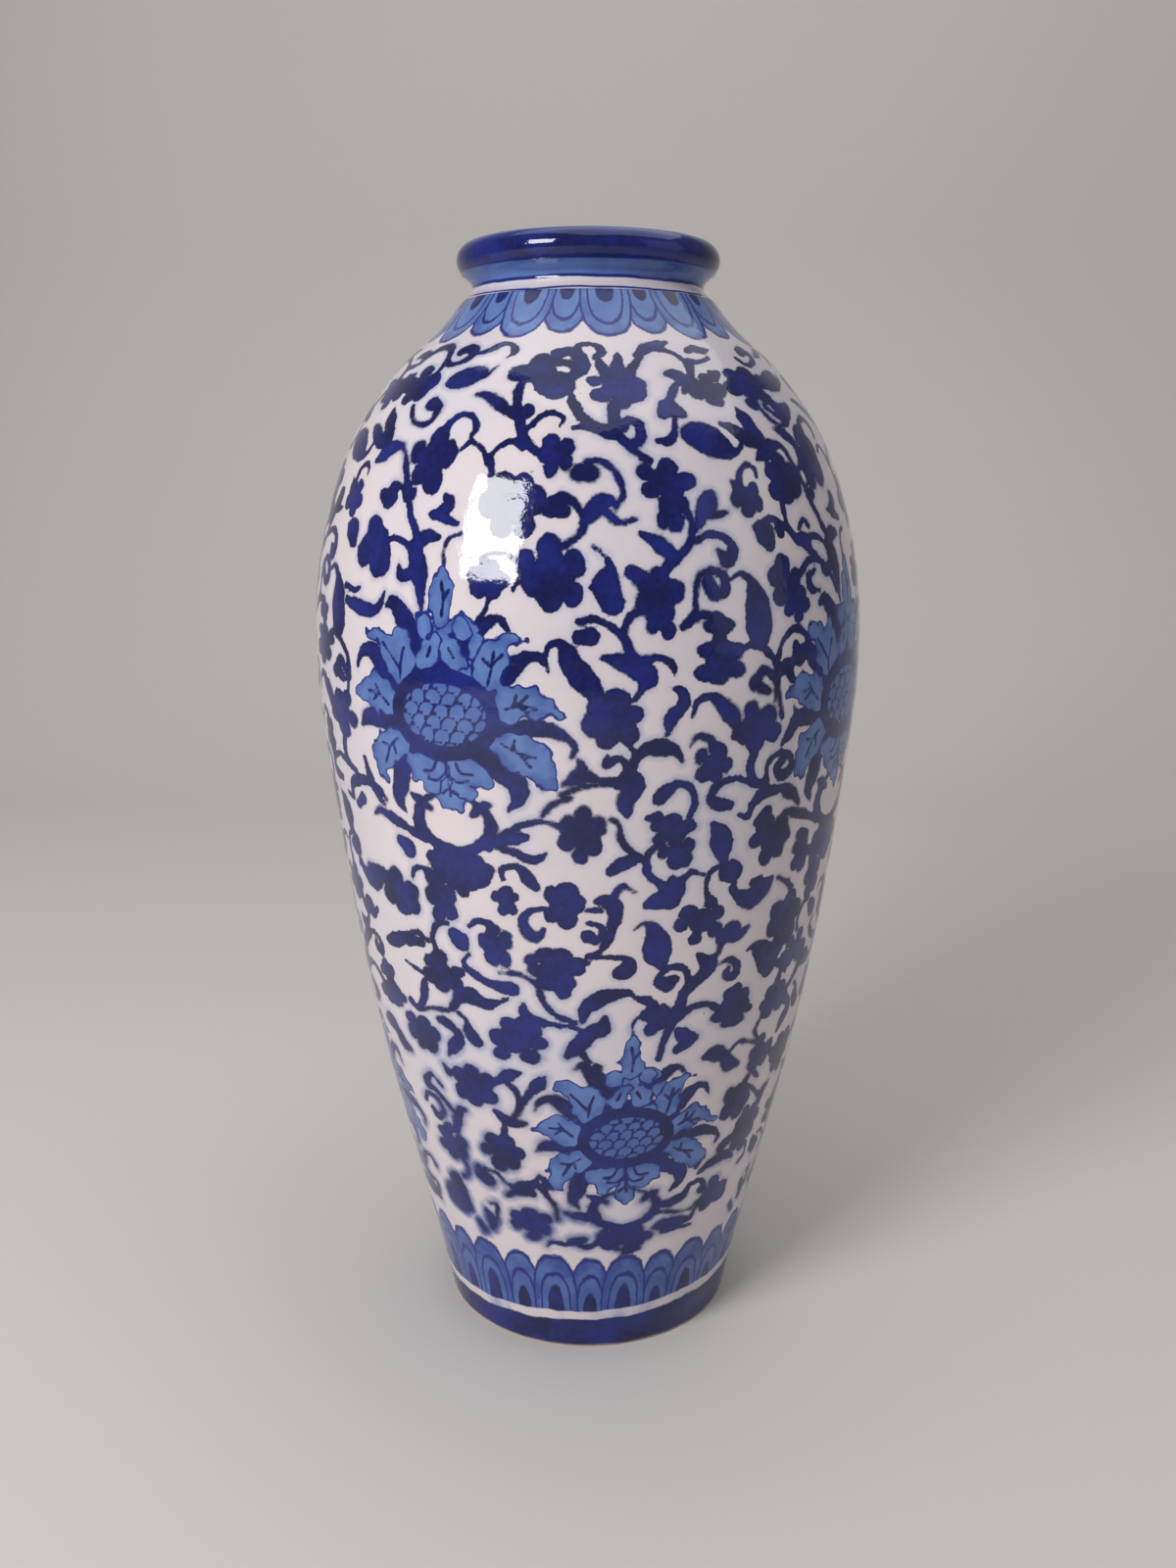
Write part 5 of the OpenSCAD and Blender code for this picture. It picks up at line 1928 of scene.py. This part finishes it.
@dataclass(frozen=True)
class Studio:
    """A pale sweep, soft light and the camera, in metres."""

    width: float = 6.0
    back: float = 1.6
    front: float = 2.4
    wall_h: float = 3.0
    curve: float = 0.7
    curve_steps: int = 16
    floor_colour: Colour = rgb(214, 210, 206)
    floor_rough: float = 0.7
    room: Colour = rgb(226, 224, 228)
    room_light: float = 0.27
    eye: Point = (0.0, -0.578, 0.364)
    look_down: float = 12.95
    lens: float = 31.5
    sensor: float = 36.0
    lamps: tuple[Lamp, ...] = (
        Lamp("window", (-0.95, -1.11, 0.97), (0.62, 0.6), 19, (0, 0, 0.34)),
        Lamp("sky", (0.3, 0.2, 2.2), (2.4, 2.4), 17, (0, 0, 0)),
        Lamp("fill", (2.2, -0.9, 0.9), (1.6, 1.8), 2.5, (0, 0, 0.25)),
    )

    def sweep(self) -> None:
        """Build floor and backdrop as one curved sheet."""
        bpy.ops.object.select_all(action="DESELECT")
        bpy.ops.mesh.primitive_plane_add(size=1.0)
        floor = bpy.context.active_object
        floor.name = "studio_sweep"
        for vertex in floor.data.vertices:
            vertex.co.x *= self.width
            vertex.co.y = self.back if vertex.co.y > 0 else -self.front
        bpy.ops.object.mode_set(mode="EDIT")
        bpy.ops.mesh.select_mode(type="EDGE")
        bpy.ops.mesh.select_all(action="DESELECT")
        bpy.ops.object.mode_set(mode="OBJECT")
        for edge in floor.data.edges:
            edge.select = all(floor.data.vertices[i].co.y > 0 for i in edge.vertices)
        bpy.ops.object.mode_set(mode="EDIT")
        bpy.ops.mesh.extrude_region_move(TRANSFORM_OT_translate={"value": (0, 0, self.wall_h)})
        bpy.ops.object.mode_set(mode="OBJECT")
        for edge in floor.data.edges:
            places = [floor.data.vertices[i].co for i in edge.vertices]
            edge.select = all(p.y > 0 and abs(p.z) < self.curve / 2 for p in places)
        bpy.ops.object.mode_set(mode="EDIT")
        bpy.ops.mesh.bevel(offset=self.curve, segments=self.curve_steps)
        bpy.ops.object.mode_set(mode="OBJECT")
        bpy.ops.object.shade_smooth()
        paper = bpy.data.materials.new("studio paper")
        paper.use_nodes = True
        shader = paper.node_tree.nodes["Principled BSDF"]
        shader.inputs["Base Color"].default_value = (*self.floor_colour, 1)
        shader.inputs["Roughness"].default_value = self.floor_rough
        floor.data.materials.append(paper)

    def light(self) -> None:
        """Hang the window lamp and the soft fills, and set the room's light."""
        for lamp in self.lamps:
            lamp.hang()
        world = bpy.data.worlds.new("room")
        bpy.context.scene.world = world
        world.use_nodes = True
        sky = world.node_tree.nodes["Background"]
        sky.inputs["Color"].default_value = (*self.room, 1)
        sky.inputs["Strength"].default_value = self.room_light
        bpy.context.scene.view_settings.view_transform = "Standard"

    def camera(self) -> None:
        """Set up the camera."""
        data = bpy.data.cameras.new("camera")
        data.lens = self.lens
        data.sensor_width = self.sensor
        camera = bpy.data.objects.new("camera", data)
        bpy.context.scene.collection.objects.link(camera)
        camera.location = self.eye
        camera.rotation_euler = (math.radians(90 - self.look_down), 0, 0)
        bpy.context.scene.camera = camera


class BalusterJar:
    """The jar: four thrown walls, foot ring, floor, collar, rim and their slip."""

    # node, height of the joint below and of the joint above
    sections = (
        ("lower_wall", 15.0, 120.0),
        ("middle_wall", 120.0, 223.0),
        ("belly_wall", 223.0, 340.0),
        ("shoulder_wall", 340.0, 428.0),
    )

    def __init__(self) -> None:
        """List the walls from the foot up."""
        self.glaze = PaintedGlaze("painted glaze", "painted_glaze")
        self.walls = [WallSection(f"{node}_turned", node, self.glaze, low=low, high=high)
                      for node, low, high in self.sections]
        self.walls[-1].top_tongue = NeckCollar.tongue_r

    def canvas(self) -> Canvas:
        """Paint the canvas that the walls share.

        Returns:
            The canvas.
        """
        heights = np.concatenate([self.walls[0].skin()] + [wall.skin()[1:] for wall in self.walls[1:]])
        outline = Outline()
        canvas = Canvas(heights, np.array([outline.radius(z) for z in heights]))
        Painter().paint(canvas)
        LOG.info("painting: %d rows of %d points", len(heights), COLUMNS)
        return canvas

    def build(self) -> None:
        """Build every piece from the foot up."""
        cobalt = FootGlaze("dark cobalt glaze", "dark_cobalt_glaze")
        FootRing("foot_ring_turned", "foot_ring", cobalt).build()
        FloorDisc("floor_disc_turned", "floor_disc", Glaze("clear glaze", "clear_glaze")).build()
        canvas = self.canvas()
        material = self.glaze.make()
        for number, wall in enumerate(self.walls):
            wall.build(canvas, number * (wall.outer - 1), material)
        collar = NeckGlaze("pale cobalt glaze", "pale_cobalt_glaze")
        NeckCollar("neck_collar_turned", "neck_collar", collar).build()
        RolledRim("rolled_rim_turned", "rolled_rim", RimGlaze("rim glaze", "dark_cobalt_glaze")).build()
        SlipRings().dress()


def main() -> None:
    """Build the jar and its studio."""
    logging.basicConfig(level=logging.INFO, format="%(message)s")
    studio = Studio()
    studio.camera()
    BalusterJar().build()
    studio.sweep()
    studio.light()


if __name__ == "__main__":
    main()
